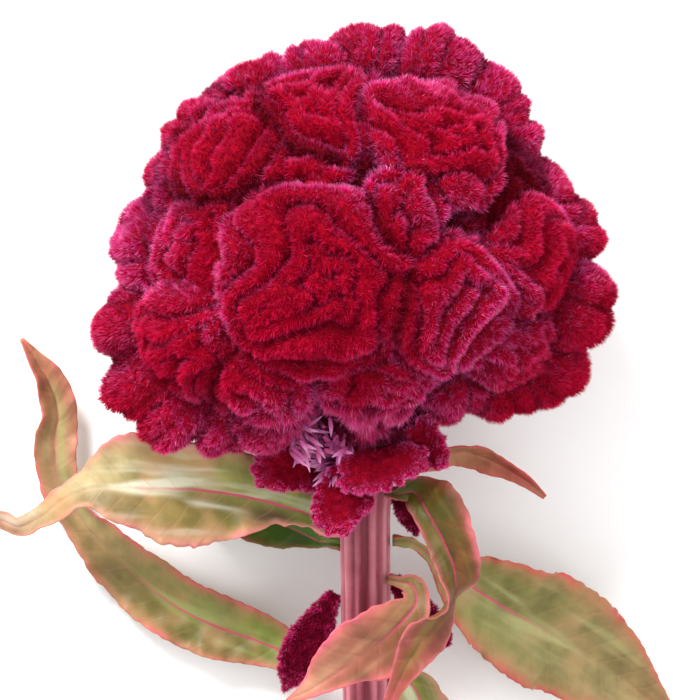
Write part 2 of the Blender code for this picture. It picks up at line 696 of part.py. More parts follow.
def build_floret_cluster():
    """Straps that fan out from a core in front of the neck."""
    angle = math.radians(FLORET_TURN)
    centre = stem_point(FLORET_DOWN, angle, FLORET_CORE_RADIUS + SEAT_GAP + STEM_RIB_HEIGHT + 0.3)
    rng = np.random.default_rng(FLORET_SEED)
    parts = bpy.data.collections.new("floret_parts")
    form = bmesh.new()
    bmesh.ops.create_icosphere(form, subdivisions=2, radius=FLORET_CORE_RADIUS * METRES)
    bmesh.ops.translate(form, verts=form.verts, vec=centre * METRES)
    core_mesh = bpy.data.meshes.new("floret_cluster")
    form.to_mesh(core_mesh)
    form.free()
    core_mesh.materials.append(make_material("floret_cluster_material", PALE_PINK, 0.6))
    core = bpy.data.objects.new("floret_cluster", core_mesh)
    bpy.context.scene.collection.objects.link(core)
    outward = unit(centre - (STEM_TOP + FLORET_DOWN * stem_axis()))
    made = 0
    for direction in spiral_directions(FLORET_COUNT * 3):
        if direction @ outward < FLORET_SPREAD or direction[1] > FLORET_HIGHEST or made >= FLORET_COUNT:
            continue
        made += 1
        strap = bmesh.new()
        length = FLORET_LENGTH * rng.uniform(0.75, 1.0)
        add_strap(strap, centre + direction * FLORET_CORE_RADIUS * 0.3, direction, length)
        bmesh.ops.recalc_face_normals(strap, faces=strap.faces)
        mesh = bpy.data.meshes.new("floret_strap")
        strap.to_mesh(mesh)
        strap.free()
        item = bpy.data.objects.new("floret_strap", mesh)
        parts.objects.link(item)
    join_collection(core, parts)
    return core


def join_collection(core, parts):
    """Fuses a collection's objects to the core and removes them."""
    bpy.context.scene.collection.children.link(parts)
    fuse = core.modifiers.new("fuse", "BOOLEAN")
    fuse.operation = "UNION"
    fuse.operand_type = "COLLECTION"
    fuse.collection = parts
    fuse.solver = "EXACT"
    graph = bpy.context.evaluated_depsgraph_get()
    fused = bpy.data.meshes.new_from_object(core.evaluated_get(graph))
    core.modifiers.remove(fuse)
    old = core.data
    core.data = fused
    bpy.data.meshes.remove(old)
    for item in list(parts.objects):
        bpy.data.objects.remove(item, do_unlink=True)
    bpy.data.collections.remove(parts)
    form = bmesh.new()
    form.from_mesh(core.data)
    bmesh.ops.triangulate(form, faces=form.faces)
    form.to_mesh(core.data)
    form.free()


def main():
    clear_scene()
    build_crest()
    build_stem()
    build_leaves()
    build_side_crests()
    build_floret_cluster()


main()
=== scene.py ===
"""Looks of the cockscomb celosia: velvet pile on the crest, and its stem and leaves.

Sizes are in millimetres, in the same frame as the CAD part, and are turned into
metres when a mesh is made. Numbers shared with the part's source keep its names; only
the rows of the front, tongue and left side crests are fuller here.
"""
import math

import bmesh
import bpy
import numpy as np
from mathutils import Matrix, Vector

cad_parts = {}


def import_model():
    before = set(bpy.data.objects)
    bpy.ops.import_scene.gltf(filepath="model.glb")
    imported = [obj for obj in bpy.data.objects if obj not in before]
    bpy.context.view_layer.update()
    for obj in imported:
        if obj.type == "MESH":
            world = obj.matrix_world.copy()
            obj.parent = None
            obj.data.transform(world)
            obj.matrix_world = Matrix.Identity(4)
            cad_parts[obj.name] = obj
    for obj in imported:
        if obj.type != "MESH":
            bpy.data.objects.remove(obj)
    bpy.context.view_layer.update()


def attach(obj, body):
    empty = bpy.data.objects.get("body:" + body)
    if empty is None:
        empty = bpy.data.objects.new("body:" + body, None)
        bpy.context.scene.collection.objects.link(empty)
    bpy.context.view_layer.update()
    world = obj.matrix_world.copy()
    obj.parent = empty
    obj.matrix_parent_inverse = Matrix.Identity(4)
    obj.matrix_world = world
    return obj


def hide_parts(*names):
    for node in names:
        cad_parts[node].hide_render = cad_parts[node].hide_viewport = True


METRES = 0.001
SEAT_GAP = 0.35
SEAT_REACH = 3.0

# Crest: centre, core under the lobes, and the folds on them
CREST_CENTRE = np.array((0.0, 0.0, 46.0))
CORE_HALF_SIZES = np.array((51.0, 42.0, 37.0))
CORE_LEAST_COVER = 2.0
SWIRL_FULLNESS = 0.4
PLEAT_FULLNESS = 0.5
LOBE_OVERLAP = 1.2
FOLD_SPACING = 7.5
FOLD_DEPTH = 4.8
SOFT_PLEAT_DEPTH = 2.3
RIPPLE_HEIGHT = 0.4
RIPPLE_SIZE = 5.5
RIPPLE_SEED = 47
FOLD_ROUNDNESS = 0.65
FOLD_WARP = 3.0
FOLD_WARP_SIZE = 30.0
SWIRL_ARMS = 1
SWIRL_RUFFLES = 5
SWIRL_WAVINESS = 1.7
SWIRL_CALM_RADIUS = 8.0
PLEAT_COUNT = 36
LOBE_EDGE_WARP = 1.6
WAVES_PER_FIELD = 36
FIELD_SEED = 11
FLAT_SPOT_RADIUS = 21.0
FLAT_SPOT_FADE = 9.0
CREST_SUBDIVISIONS = 7

# Lobes as modelled: outermost point from the crest's centre, and half width
SWIRL, PLEATS = 0, 1
FRONT_LOBES = (
    (24, 26, 32, 17),
    (-8, 33, 27, 14.5),
    (-33, 24, 22, 17),
    (-11, 15.5, 36, 8),
    (13, 5, 43, 11),
    (-41, -3, 25, 15.5),
    (-45, -31, 20, 17.5),
    (-9, -14, 46, 24),
    (25, -20, 38, 17),
    (50, -10, 19, 17),
    (40, 11, 21, 12),
    (-26, -42, 22, 13),
    (6, -41, 25, 13),
    (45, -32, 14, 14),
)
RIM_LOBES = (
    (7, 53.5, -2, 13.5),
    (28, 51.5, 2, 15),
    (39, 42, 0, 12),
    (44.5, 31, -2, 13),
    (-11, 49, -2, 12),
    (-28, 43.5, -2, 13),
    (-41, 34, -2, 14.5),
    (-50, 18, -4, 11),
    (-58.5, -3, -2, 15),
    (-63, -27, -2, 14.5),
    (-61, -41.5, -1, 12.5),
    (-50.5, -51.5, -1, 13.5),
    (-34, -54, -1, 14),
    (-22, -52.5, 8, 11.5),
    (56.5, 11.5, 0, 12),
    (63.5, 2, -3, 13.5),
    (65, -20, -3, 16),
    (57, -38, -4, 13.5),
    (45, -42.5, -2, 12),
    (31, -43, 0, 13),
)
BACK_LOBE_COUNT = 22
BACK_LOBE_TOP = -0.22
BACK_HALF_SIZES = np.array((61.0, 52.0, 51.0))
BACK_LOBE_WIDTH = 15.5

# Pile on the crest: hairs stand in small tufts, and are shorter down in the grooves
HAIRS_PER_PIECE = 152000
CREST_HAIR_PIECES = 4
HAIR_SEED = 3
HAIR_LENGTH = 1.8
GROOVE_HAIR_SHARE = 0.5
HAIR_HALF_WIDTH = 0.095
HAIR_ROOT_DEPTH = 0.2
HAIR_SPREAD = 0.16
TUFT_SIZE = 2.2
TUFT_LEAN = 0.26
NORMAL_LEAN = 0.85
RADIAL_LEAN = 0.3
UNDERSIDE_HAIR_SHARE = 0.45
UNDERSIDE_HEIGHT = 22.0
FLAT_SPOT_HEIGHT = 0.6
PATCH_SIZE = 26.0
PATCH_SEED = 91
CREVICE_DEPTH = 2.0
HAIR_LENGTH_RANGE = (0.7, 1.15)
HAIR_WIDTH_RANGE = (0.7, 1.3)
LOWEST_HAIR = 0.02
RIM_DOME = 0.6
RIM_FADE = 0.4
RIM_HAIR_EXTRA = 0.4
RIM_TUFT_SIZE = 4.4
RIM_TUFT_EXTRA = 0.45

# Pink hair tips, how strong: a painted sheen on lobe rims, a painted highlight on lit sides, and paler
# tips at spots and everywhere
SHEEN_ON_RIMS = 0.85
SHEEN_DOME = 0.85
SHEEN_FADE = 0.5
HIGHLIGHT_ON_LIT_SIDES = 0.45
LIT_SLOPE = 0.8
LIT_START = 0.1
LEAST_PATCH = 0.35
FROST_AT_SPOTS = 0.75
SPOT_CORE = 0.4
FROST_EVERYWHERE = 0.05

# Places on the crest with paler hair tips: x, y, radius and strength, for its upper side
FROST_SPOTS = (
    (-54, 0, 14, 0.95),
    (-44, 9, 9, 0.6),
    (-60, -30, 9, 0.5),
    (-34, 36, 9, 0.6),
    (-31.8, -21, 4.5, 0.7),
    (8, 44, 8, 0.8),
    (37, 40, 10, 0.65),
    (44.5, 22.5, 7, 0.6),
    (4.5, 14, 7, 0.7),
    (18, 5, 7, 0.7),
    (32, -22.5, 15, 0.8),
    (24.5, -37.5, 9, 0.95),
    (37, -15, 8, 0.6),
    (-38, -49, 11, 0.85),
    (-20.5, -46, 9, 0.95),
    (-8, -42.5, 8, 0.95),
    (10.8, -40, 7, 0.85),
    (22, 50, 11, 0.6),
    (-14, 45, 9, 0.55),
)
FROST_SPOT_LOWEST = 34.0

# Fringe: longer pale hairs that hang over the neck
FRINGE_CENTRE = np.array((-1.0, -44.0, 60.0))
FRINGE_REACH = np.array((26.0, 6.0, 14.0))
FRINGE_HAIRS = 20000
FRINGE_LENGTH = 3.6
FRINGE_SEED = 21
FRINGE_TUFT_SIZE = 2.6
FRINGE_EDGE = 0.5
FRINGE_LEAST_FROST = 0.25
FRINGE_TONES = (0.6, 1.0)
FRINGE_LIFT = 0.35
FRINGE_DROOP = 0.6
FRINGE_LEAST_LENGTH = 0.45
FRINGE_LENGTH_LIMITS = (0.3, 1.2)

# Stem: from its seat under the crest down to the cut end on the surface
STEM_TOP = np.array((3.5, -46.5, 42.0))
STEM_END = np.array((5.0, -168.0, 5.4))
STEM_RADIUS = 6.0
STEM_END_RADIUS = 5.7
NECK_HALF_WIDTH = 11.5
NECK_HALF_DEPTH = 8.0
NECK_LENGTH = 26.0
STEM_RIBS = 10
STEM_RIB_HEIGHT = 0.45
NECK_CLEAR_RADIUS = 13.5
NECK_CLEAR_FADE = 7.0
FINE_STEM_RINGS = 120
FINE_STEM_SIDES = 120
STEM_FIBRES = 30
STEM_FIBRE_SWAY = 2.0
STEM_FIBRE_SWAY_LENGTH = 17.0
STEM_FIBRE_HEIGHT = 0.12
STEM_GROOVE_DEPTH = 0.16
STEM_GROOVE_START = -0.4
STEM_END_ROWS = 12
STEM_END_BULGE = 0.5
STEM_BAND_TURN = 1.75
STEM_BAND_WIDTH = 0.38

# Blades: thickness of leaves and of the velvety side crests
LEAF_THICKNESS = 0.8
PETIOLE_THICKNESS = 2.0
PETIOLE_END = 0.12
SIDE_CREST_THICKNESS = 2.0
SIDE_CREST_SEAT = 1.65
STEEP_SEAT = 0.2
FLOOR_CLEARANCE = 0.45
LEAST_HALF_WIDTH = 0.35
ROWS_PER_MILLIMETRE = 1.3
SECOND_WAVE, SECOND_WAVE_LENGTH = 0.5, 0.57
CRIMP, CRIMP_LENGTH = 0.22, 0.23
FULL_RUFFLE_WIDTH = 7.0
SECOND_TOOTH, SECOND_TOOTH_LENGTH = 0.7, 0.61
WIDEST_TOOTH = 1.06
LEAF_TOOTH_LENGTH, LEAF_TOOTH_DEPTH = 4.3, 0.012
LEAF_MARGIN_THINNING = 0.55
QUILT_HEIGHT, QUILT_SIZE = 0.12, 5.0
VEIN_SINK = -0.2
VEIN_SLANT = 0.85
RIB_HALF_WIDTH = 0.6
LEAF_COLUMNS = 30
VEIN_SPACING = 6.5
HOLLOW_DEPTH = 2.4
HOLLOW_HALF_LENGTH, HOLLOW_HALF_WIDTH = 6.5, 3.0
VEIN_STRENGTH = 0.16
SIDE_CREST_COLUMNS = 24
SIDE_CREST_HAIRS = 22
SIDE_CREST_HAIR_LENGTH = 1.0
SIDE_CREST_HAIR_SEED = 53
SIDE_CREST_FOLD = 10
SIDE_CREST_WAVE_LENGTH = 8.0
SIDE_CREST_TOOTH_LENGTH, SIDE_CREST_TOOTH_DEPTH = 2.3, 0.12
END_TOOTH_WIDTH = 3.4
END_TOOTH_LENGTH = 0.75
END_ROUNDING = 1.8

# Floret cluster
FLORET_CORE_RADIUS = 2.6
FLORET_COUNT = 15
FLORET_LENGTH = 7.6
FLORET_HALF_WIDTH = 0.58
FLORET_SEED = 5
FLORET_DOWN = 7.0
FLORET_TURN = 124
FLORET_SPREAD = 0.15
FLORET_HIGHEST = 0.35
STRAPS_PER_FLORET = 5
HANGING_FLORETS = 130
HANGING_FLORETS_MIDDLE = np.array((-8.0, -48.5, 56.0))
HANGING_FLORETS_REACH = np.array((7.5, 4.5, 3.5))
STRAP_STRETCH = 1.15
STRAP_RINGS = 9
STRAP_SIDES = 8
STRAP_BEND = 0.6
STRAP_KEEL = 0.35
STRAP_DEPTH = 0.32
FLORET_LENGTHS = (0.75, 1.0)
TWIN_SPREAD = 0.28
TWIN_LENGTHS = (0.55, 0.9)
HANGING_SPREAD = 0.45
HANGING_LENGTHS = (0.45, 0.85)

# Screen colours of a hair at its root, along it and at its tip, then of pink-tipped hair, for paler
# tips and for painted sheen and highlight
VELVET_CRIMSON = ((152, 0, 30), (196, 0, 44), (212, 4, 76), (220, 14, 118), (248, 130, 204))
VELVET_MAROON = ((90, 0, 26), (150, 0, 46), (168, 8, 66), (186, 14, 88), (222, 76, 146))

# Leaf looks: name, how much darker one half is, and screen colours near the stem, in the
# middle, far out and at the tip, then of the margin, midrib, blotches and streaks; the pale look's
# creamy streaks are a painted sheen
PINK_RIB = (190, 66, 100)
CORAL = (204, 96, 96)
LEAF_LOOKS = {
    "pale": ("leaf_pale", 1.0, (142, 160, 66), (172, 158, 98), (204, 186, 150), (208, 132, 118),
             (208, 118, 118), PINK_RIB, (182, 140, 98), (222, 220, 200)),
    "reddish": ("leaf_reddish", 0.8, (120, 144, 44), (152, 146, 84), (194, 156, 122),
                (212, 124, 108), CORAL, PINK_RIB, (166, 128, 90), (154, 160, 96)),
    "broad": ("leaf_broad", 0.5, (134, 142, 66), (148, 144, 84), (158, 142, 94), (170, 122, 84),
              (192, 76, 76), PINK_RIB, (160, 130, 88), (164, 160, 108)),
    "russet": ("leaf_russet", 0.5, (164, 140, 84), (180, 126, 90), (176, 76, 66), (190, 52, 66),
               (190, 60, 66), (178, 62, 74), (176, 110, 82), (166, 120, 84)),
    "twisted": ("leaf_olive", 0.2, (88, 88, 18), (82, 60, 14), (176, 84, 84), (206, 100, 104),
                (186, 92, 100), (152, 44, 74), (124, 70, 40), (122, 106, 48)),
    "rosy": ("leaf_rosy", 0.5, (150, 130, 76), (176, 112, 88), (190, 116, 102), (210, 112, 112),
             (214, 90, 112), PINK_RIB, (192, 112, 96), (178, 140, 104)),
    # The dark look's darker green is partly painted shade, for the small leaf that lies in shade under
    # the others
    "dark": ("leaf_dark_green", 0.5, (82, 124, 28), (74, 116, 26), (92, 118, 40), (128, 110, 60),
             (160, 84, 76), (170, 90, 96), (96, 120, 44), (88, 134, 40)),
}

# Camera at the photograph's angle: straight down on the flower
CAMERA_PLACE = (0.0, -0.0275, 0.646)
CAMERA_LENS = 123.43
SENSOR_WIDTH = 36.0
FLOOR_HALF_SIZE = 3.0
FLOOR_DROP = 0.0001
ROOM_LIGHT = 1.0
# Lights: name, place and size in metres, power in watts
LIGHTS = (
    ("key_light", (-0.42, 0.7, 0.72), 0.35, 18.0),
    ("fill_light", (0.5, -0.2, 0.6), 0.6, 2.0),
)


# Small helpers


def unit(vectors):
    vectors = np.asarray(vectors, float)
    return vectors / np.linalg.norm(vectors, axis=-1, keepdims=True)


def wave_field(points, wavelength, seed):
    """Winding bands of high and low ground, about -2 to 2."""
    rng = np.random.default_rng(seed)
    directions = unit(rng.normal(size=(WAVES_PER_FIELD, 3)))
    phases = rng.uniform(0, 2 * math.pi, WAVES_PER_FIELD)
    angles = points @ directions.T * (2 * math.pi / wavelength) + phases
    return np.cos(angles).sum(axis=1) * math.sqrt(2 / WAVES_PER_FIELD)


def soft_step(distance, radius, fade):
    """1 within a radius, falling smoothly to 0 over the fade beyond it."""
    part = np.clip((radius + fade - distance) / fade, 0, 1)
    return part * part * (3 - 2 * part)


def tangents(directions):
    """Two unit vectors across each direction."""
    helper = np.where(np.abs(directions[:, 2:3]) < 0.9, (0.0, 0.0, 1.0), (0.0, 1.0, 0.0))
    across = unit(np.cross(helper, directions))
    return across, np.cross(directions, across)


def make_piece(name, points, faces, facts, material):
    """A mesh object that rides on the part, with one number a point for each fact."""
    mesh = bpy.data.meshes.new(name)
    faces = np.asarray(faces, np.int32)
    corners = faces.shape[1]
    mesh.vertices.add(len(points))
    mesh.vertices.foreach_set("co", (points * METRES).astype(np.float32).ravel())
    mesh.loops.add(faces.size)
    mesh.loops.foreach_set("vertex_index", faces.ravel())
    mesh.polygons.add(len(faces))
    mesh.polygons.foreach_set("loop_start", np.arange(0, faces.size, corners, dtype=np.int32))
    mesh.polygons.foreach_set("loop_total", np.full(len(faces), corners, np.int32))
    mesh.update(calc_edges=True)
    for fact, values in facts.items():
        layer = mesh.attributes.new(fact, "FLOAT", "POINT")
        layer.data.foreach_set("value", np.asarray(values, np.float32))
    mesh.shade_smooth()
    mesh.materials.append(material)
    piece = bpy.data.objects.new(name, mesh)
    bpy.context.scene.collection.objects.link(piece)
    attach(piece, "root")
    return piece


def corner_normals(points, triangles):
    """Smooth normal at each point, and the area of each triangle."""
    first, second, third = (points[triangles[:, k]] for k in range(3))
    outward = np.cross(second - first, third - first)
    normals = np.zeros_like(points)
    for corner in range(3):
        for axis in range(3):
            normals[:, axis] += np.bincount(triangles[:, corner], outward[:, axis], len(points))
    return unit(normals), np.linalg.norm(outward, axis=1) / 2


# Crest


def ellipsoid_radius(directions, half_sizes):
    return 1 / np.linalg.norm(directions / half_sizes, axis=1)


def spiral_directions(count):
    """Unit vectors spread evenly over a sphere along a golden spiral."""
    steps = np.arange(count) + 0.5
    heights = 1 - 2 * steps / count
    turns = steps * math.pi * (3 - math.sqrt(5))
    widths = np.sqrt(1 - heights ** 2)
    return np.stack((widths * np.cos(turns), widths * np.sin(turns), heights), axis=1)


def back_lobes():
    """Lobes of the crest's hidden side, spread evenly."""
    directions = spiral_directions(BACK_LOBE_COUNT * 2)
    directions = directions[directions[:, 2] < BACK_LOBE_TOP]
    reach = ellipsoid_radius(directions, BACK_HALF_SIZES)
    styles = np.full(len(directions), SWIRL)
    widths = np.full(len(directions), BACK_LOBE_WIDTH)
    return np.column_stack((directions * reach[:, None], widths, styles))


def lobe_table():
    """Rows of every lobe, with the front ones widened until they press together."""
    front = np.column_stack((FRONT_LOBES, np.full(len(FRONT_LOBES), SWIRL)))
    front[:, 3] *= LOBE_OVERLAP
    rim = np.column_stack((RIM_LOBES, np.full(len(RIM_LOBES), PLEATS)))
    return np.vstack((front, rim, back_lobes()))


def fold_ridge(place, lobes, owner):
    """0 in a groove and 1 on the round back of a fold, for points on the lobes."""
    centres = lobes[owner, :3]
    across, along = tangents(unit(centres))
    offset = place - centres
    side = np.sum(offset * across, axis=1)
    rise = np.sum(offset * along, axis=1)
    reach = np.hypot(side, rise)
    angle = np.arctan2(rise, side)
    waviness = SWIRL_WAVINESS * np.minimum(1.0, reach / SWIRL_CALM_RADIUS)
    swirl = 2 * math.pi * reach / FOLD_SPACING + SWIRL_ARMS * angle
    swirl = swirl + waviness * np.sin(SWIRL_RUFFLES * angle + owner + reach / FOLD_SPACING)
    pleat = PLEAT_COUNT * np.arctan2(place[:, 1], place[:, 0])
    phase = np.where(lobes[owner, 4] == PLEATS, pleat, swirl)
    return np.abs(np.cos(0.5 * phase)) ** FOLD_ROUNDNESS


def crest_surface(directions):
    """Distance from the crest's centre to its surface, and what the pile needs there."""
    lobes = lobe_table()
    axes = unit(lobes[:, :3])
    reach = np.linalg.norm(lobes[:, :3], axis=1)
    nominal = ellipsoid_radius(directions, BACK_HALF_SIZES)[:, None] * directions
    warp = np.stack([wave_field(nominal, FOLD_WARP_SIZE, FIELD_SEED + 2 + k) for k in range(3)], 1)
    bent = unit(nominal + LOBE_EDGE_WARP * warp)
    chord = np.sqrt(np.maximum(0.0, 2 - 2 * bent @ axes.T)) * reach
    fullness = np.where(lobes[:, 4] == PLEATS, PLEAT_FULLNESS, SWIRL_FULLNESS)
    dome = np.maximum(0.0, 1 - (chord / lobes[:, 3]) ** 2) ** fullness
    core = ellipsoid_radius(directions, CORE_HALF_SIZES)
    lobe_core = ellipsoid_radius(axes, CORE_HALF_SIZES)
    height = dome * (reach - lobe_core)
    owner = np.argmax(height, axis=1)
    here = np.arange(len(directions))
    best = height[here, owner]
    own_dome = dome[here, owner]
    place = unit(nominal) * reach[owner][:, None] + FOLD_WARP * warp
    ridge = fold_ridge(place, lobes, owner)
    depth = np.where(lobes[owner, 4] == PLEATS, SOFT_PLEAT_DEPTH, FOLD_DEPTH)
    radius = core + best - depth * (1 - ridge)
    radius = radius + RIPPLE_HEIGHT * wave_field(place, RIPPLE_SIZE, RIPPLE_SEED)
    radius = np.maximum(radius, core - CORE_LEAST_COVER)
    # clear: 0 in the crevices where lobes meet, where the velvet paints shade
    height[here, owner] = -CREVICE_DEPTH
    clear = np.clip((best - height.max(axis=1)) / CREVICE_DEPTH, 0, 1)
    return trim_crest(directions, radius), {"ridge": ridge, "dome": own_dome, "clear": clear}


def stem_axis():
    return unit(STEM_END - STEM_TOP)


def trim_crest(directions, radius):
    """Flat spot on the surface below, and a seat for the stem."""
    down = np.maximum(0.1, -directions[:, 2])
    floor = CREST_CENTRE[2] / down
    aside = np.hypot(directions[:, 0], directions[:, 1]) * floor
    over_spot = soft_step(aside, FLAT_SPOT_RADIUS, FLAT_SPOT_FADE) * (directions[:, 2] < 0)
    radius = np.minimum(radius + (floor - radius) * over_spot, floor)
    axis = stem_axis()
    toward = np.maximum(0.1, directions @ axis)
    seat = ((STEM_TOP - CREST_CENTRE) @ axis - SEAT_GAP) / toward
    place = CREST_CENTRE + directions * seat[:, None] - STEM_TOP
    aside = np.linalg.norm(place - np.outer(place @ axis, axis), axis=1)
    under_neck = soft_step(aside, NECK_CLEAR_RADIUS, NECK_CLEAR_FADE) * (directions @ axis > 0.5)
    return radius + (seat - radius) * under_neck


def crest_grid():
    """Points, triangles and facts of the fine crest."""
    form = bmesh.new()
    bmesh.ops.create_icosphere(form, subdivisions=CREST_SUBDIVISIONS, radius=1.0)
    directions = unit([vert.co[:] for vert in form.verts])
    triangles = np.array([[vert.index for vert in face.verts] for face in form.faces])
    form.free()
    radius, facts = crest_surface(directions)
    points = CREST_CENTRE + directions * radius[:, None]
    points[:, 2] = np.maximum(points[:, 2], 0.0)
    return points, triangles, facts


def build_crest(material):
    points, triangles, facts = crest_grid()
    normals, areas = corner_normals(points, triangles)
    skin_facts = {"reach": np.zeros(len(points)), "tone": np.full(len(points), 0.5),
                  "pale_tips_and_painted_light": np.zeros(len(points)), "ridge": facts["ridge"],
                  "clear": facts["clear"]}
    skin = make_piece("crest_skin", points, triangles, skin_facts, material)
    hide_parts("crest")
    heights = points[triangles].mean(axis=1)[:, 2]
    density = np.where(heights < FLAT_SPOT_HEIGHT, 0.0, 1.0)
    density *= np.where(heights < UNDERSIDE_HEIGHT, UNDERSIDE_HAIR_SHARE, 1.0)
    for index in range(CREST_HAIR_PIECES):
        rng = np.random.default_rng(HAIR_SEED + index)
        roots = scatter(rng, points, normals, triangles, areas * density, facts, HAIRS_PER_PIECE)
        roots["pale_tips_and_painted_light"] = crest_pale_tips_and_painted_light(roots)
        roots["outward"] = unit(roots["place"] - CREST_CENTRE)
        rim = np.clip((RIM_DOME - roots["dome"]) / RIM_FADE, 0, 1)
        tufts = np.clip(wave_field(roots["place"], RIM_TUFT_SIZE, HAIR_SEED), -1, 1)
        length = HAIR_LENGTH * (1 + rim * (RIM_HAIR_EXTRA + RIM_TUFT_EXTRA * tufts))
        add_pile(rng, "crest_pile_%d" % index, roots, length, material)
    build_fringe(material, points, normals, triangles, areas, facts)


def crest_pale_tips_and_painted_light(roots):
    """How pink the hair tips are: most on lobe rims, a painted sheen, and on the sides that face the
    light, a painted highlight; paler tips in patches and spots.
    """
    place = roots["place"]
    patch = np.clip(0.5 + 0.5 * wave_field(place, PATCH_SIZE, PATCH_SEED), 0, 1)
    # Painted sheen: pinker tips on the lobe rims
    rim = np.clip((SHEEN_DOME - roots["dome"]) / SHEEN_FADE, 0, 1)
    # Painted highlight: pinker tips on the sides that face the light, towards +y
    lit = np.clip(roots["normal"][:, 1] * LIT_SLOPE + LIT_START, 0, 1)
    share = LEAST_PATCH + (1 - LEAST_PATCH) * patch
    pale_tips_and_painted_light = SHEEN_ON_RIMS * rim * share + HIGHLIGHT_ON_LIT_SIDES * lit * share + FROST_EVERYWHERE
    above = place[:, 2] > FROST_SPOT_LOWEST
    for x, y, radius, strength in FROST_SPOTS:
        aside = np.hypot(place[:, 0] - x, place[:, 1] - y)
        pale_tips_and_painted_light += strength * FROST_AT_SPOTS * above * soft_step(aside, SPOT_CORE * radius, radius)
    return np.clip(pale_tips_and_painted_light, 0, 1)


def build_fringe(material, points, normals, triangles, areas, facts):
    """Pale hairs that hang from the lowest folds over the neck."""
    middle = points[triangles].mean(axis=1)
    aside = np.linalg.norm((middle - FRINGE_CENTRE) / FRINGE_REACH, axis=1)
    weights = areas * soft_step(aside, FRINGE_EDGE, 1 - FRINGE_EDGE)
    rng = np.random.default_rng(FRINGE_SEED)
    roots = scatter(rng, points, normals, triangles, weights, facts, FRINGE_HAIRS)
    tufts = 0.5 + 0.5 * wave_field(roots["place"], FRINGE_TUFT_SIZE, FRINGE_SEED)
    tones = tufts * rng.uniform(*FRINGE_TONES, FRINGE_HAIRS)
    roots["pale_tips_and_painted_light"] = np.clip(FRINGE_LEAST_FROST + (1 - FRINGE_LEAST_FROST) * tones, 0, 1)
    down = unit(stem_axis() + FRINGE_LIFT * roots["normal"])
    roots["outward"] = down
    roots["normal"] = unit((1 - FRINGE_DROOP) * roots["normal"] + FRINGE_DROOP * down)
    share = FRINGE_LEAST_LENGTH + (1 - FRINGE_LEAST_LENGTH) * tufts
    length = FRINGE_LENGTH * np.clip(share, *FRINGE_LENGTH_LIMITS)
    add_pile(rng, "crest_fringe", roots, length, material)


def scatter(rng, points, normals, triangles, weights, facts, count):
    """Seeded places on a surface, with its normal and facts at each."""
    picked = rng.choice(len(triangles), count, p=weights / weights.sum())
    second, third = rng.random((2, count))
    outside = second + third > 1
    second[outside], third[outside] = 1 - second[outside], 1 - third[outside]
    shares = np.stack((1 - second - third, second, third), axis=1)
    corners = triangles[picked]
    roots = {name: (values[corners] * shares).sum(axis=1) for name, values in facts.items()}
    roots["place"] = (points[corners] * shares[:, :, None]).sum(axis=1)
    roots["normal"] = unit((normals[corners] * shares[:, :, None]).sum(axis=1))
    return roots


def add_pile(rng, name, roots, length, material):
    """A piece of short hairs, one slim triangle each, that lean together in small tufts."""
    place, normal, ridge = roots["place"], roots["normal"], roots["ridge"]
    count = len(place)
    tuft = np.stack([wave_field(place, TUFT_SIZE, PATCH_SEED + 1 + k) for k in range(3)], 1)
    lean = NORMAL_LEAN * normal + RADIAL_LEAN * roots["outward"] + TUFT_LEAN * tuft
    lean = unit(lean + HAIR_SPREAD * rng.normal(size=(count, 3)))
    share = GROOVE_HAIR_SHARE + (1 - GROOVE_HAIR_SHARE) * ridge
    tip = place + lean * (length * share * rng.uniform(*HAIR_LENGTH_RANGE, count))[:, None]
    side = unit(np.cross(lean, rng.normal(size=(count, 3))))
    half = HAIR_HALF_WIDTH * rng.uniform(*HAIR_WIDTH_RANGE, count)[:, None]
    root = place - lean * HAIR_ROOT_DEPTH
    points = np.stack((root - side * half, root + side * half, tip), axis=1).reshape(-1, 3)
    points[:, 2] = np.maximum(points[:, 2], LOWEST_HAIR)
    facts = {"reach": np.tile((0.0, 0.0, 1.0), count), "tone": np.repeat(rng.random(count), 3)}
    for fact in ("pale_tips_and_painted_light", "ridge", "clear"):
        facts[fact] = np.repeat(roots[fact], 3)
    triangles = np.arange(3 * count).reshape(-1, 3)
    make_piece(name, points, triangles, facts, material)


# Stem


def stem_frame():
    """Directions along the stem, across it to the right, and up."""
    axis = stem_axis()
    right = unit(np.cross(axis, (0.0, 0.0, 1.0)))
    right = right if right[0] > 0 else -right
    upward = np.cross(right, axis)
    return axis, right, upward if upward[2] > 0 else -upward


def stem_half_sizes(down):
    """Half width and half depth of the stem at a distance down from its top."""
    length = np.linalg.norm(STEM_END - STEM_TOP)
    plain = STEM_RADIUS + (STEM_END_RADIUS - STEM_RADIUS) * down / length
    flare = np.maximum(0.0, 1 - down / NECK_LENGTH) ** 2
    return plain + (NECK_HALF_WIDTH - plain) * flare, plain + (NECK_HALF_DEPTH - plain) * flare


def stem_points(down, angle, outward):
    """Points beside the stem; the angle turns from the right towards the top."""
    axis, right, upward = stem_frame()
    down, angle, outward = np.broadcast_arrays(down, angle, outward)
    half_width, half_depth = stem_half_sizes(down)
    rib = STEM_RIB_HEIGHT * np.cos(STEM_RIBS * angle)
    across = ((half_width + rib + outward) * np.cos(angle))[..., None] * right
    above = ((half_depth + rib + outward) * np.sin(angle))[..., None] * upward
    return STEM_TOP + down[..., None] * axis + across + above


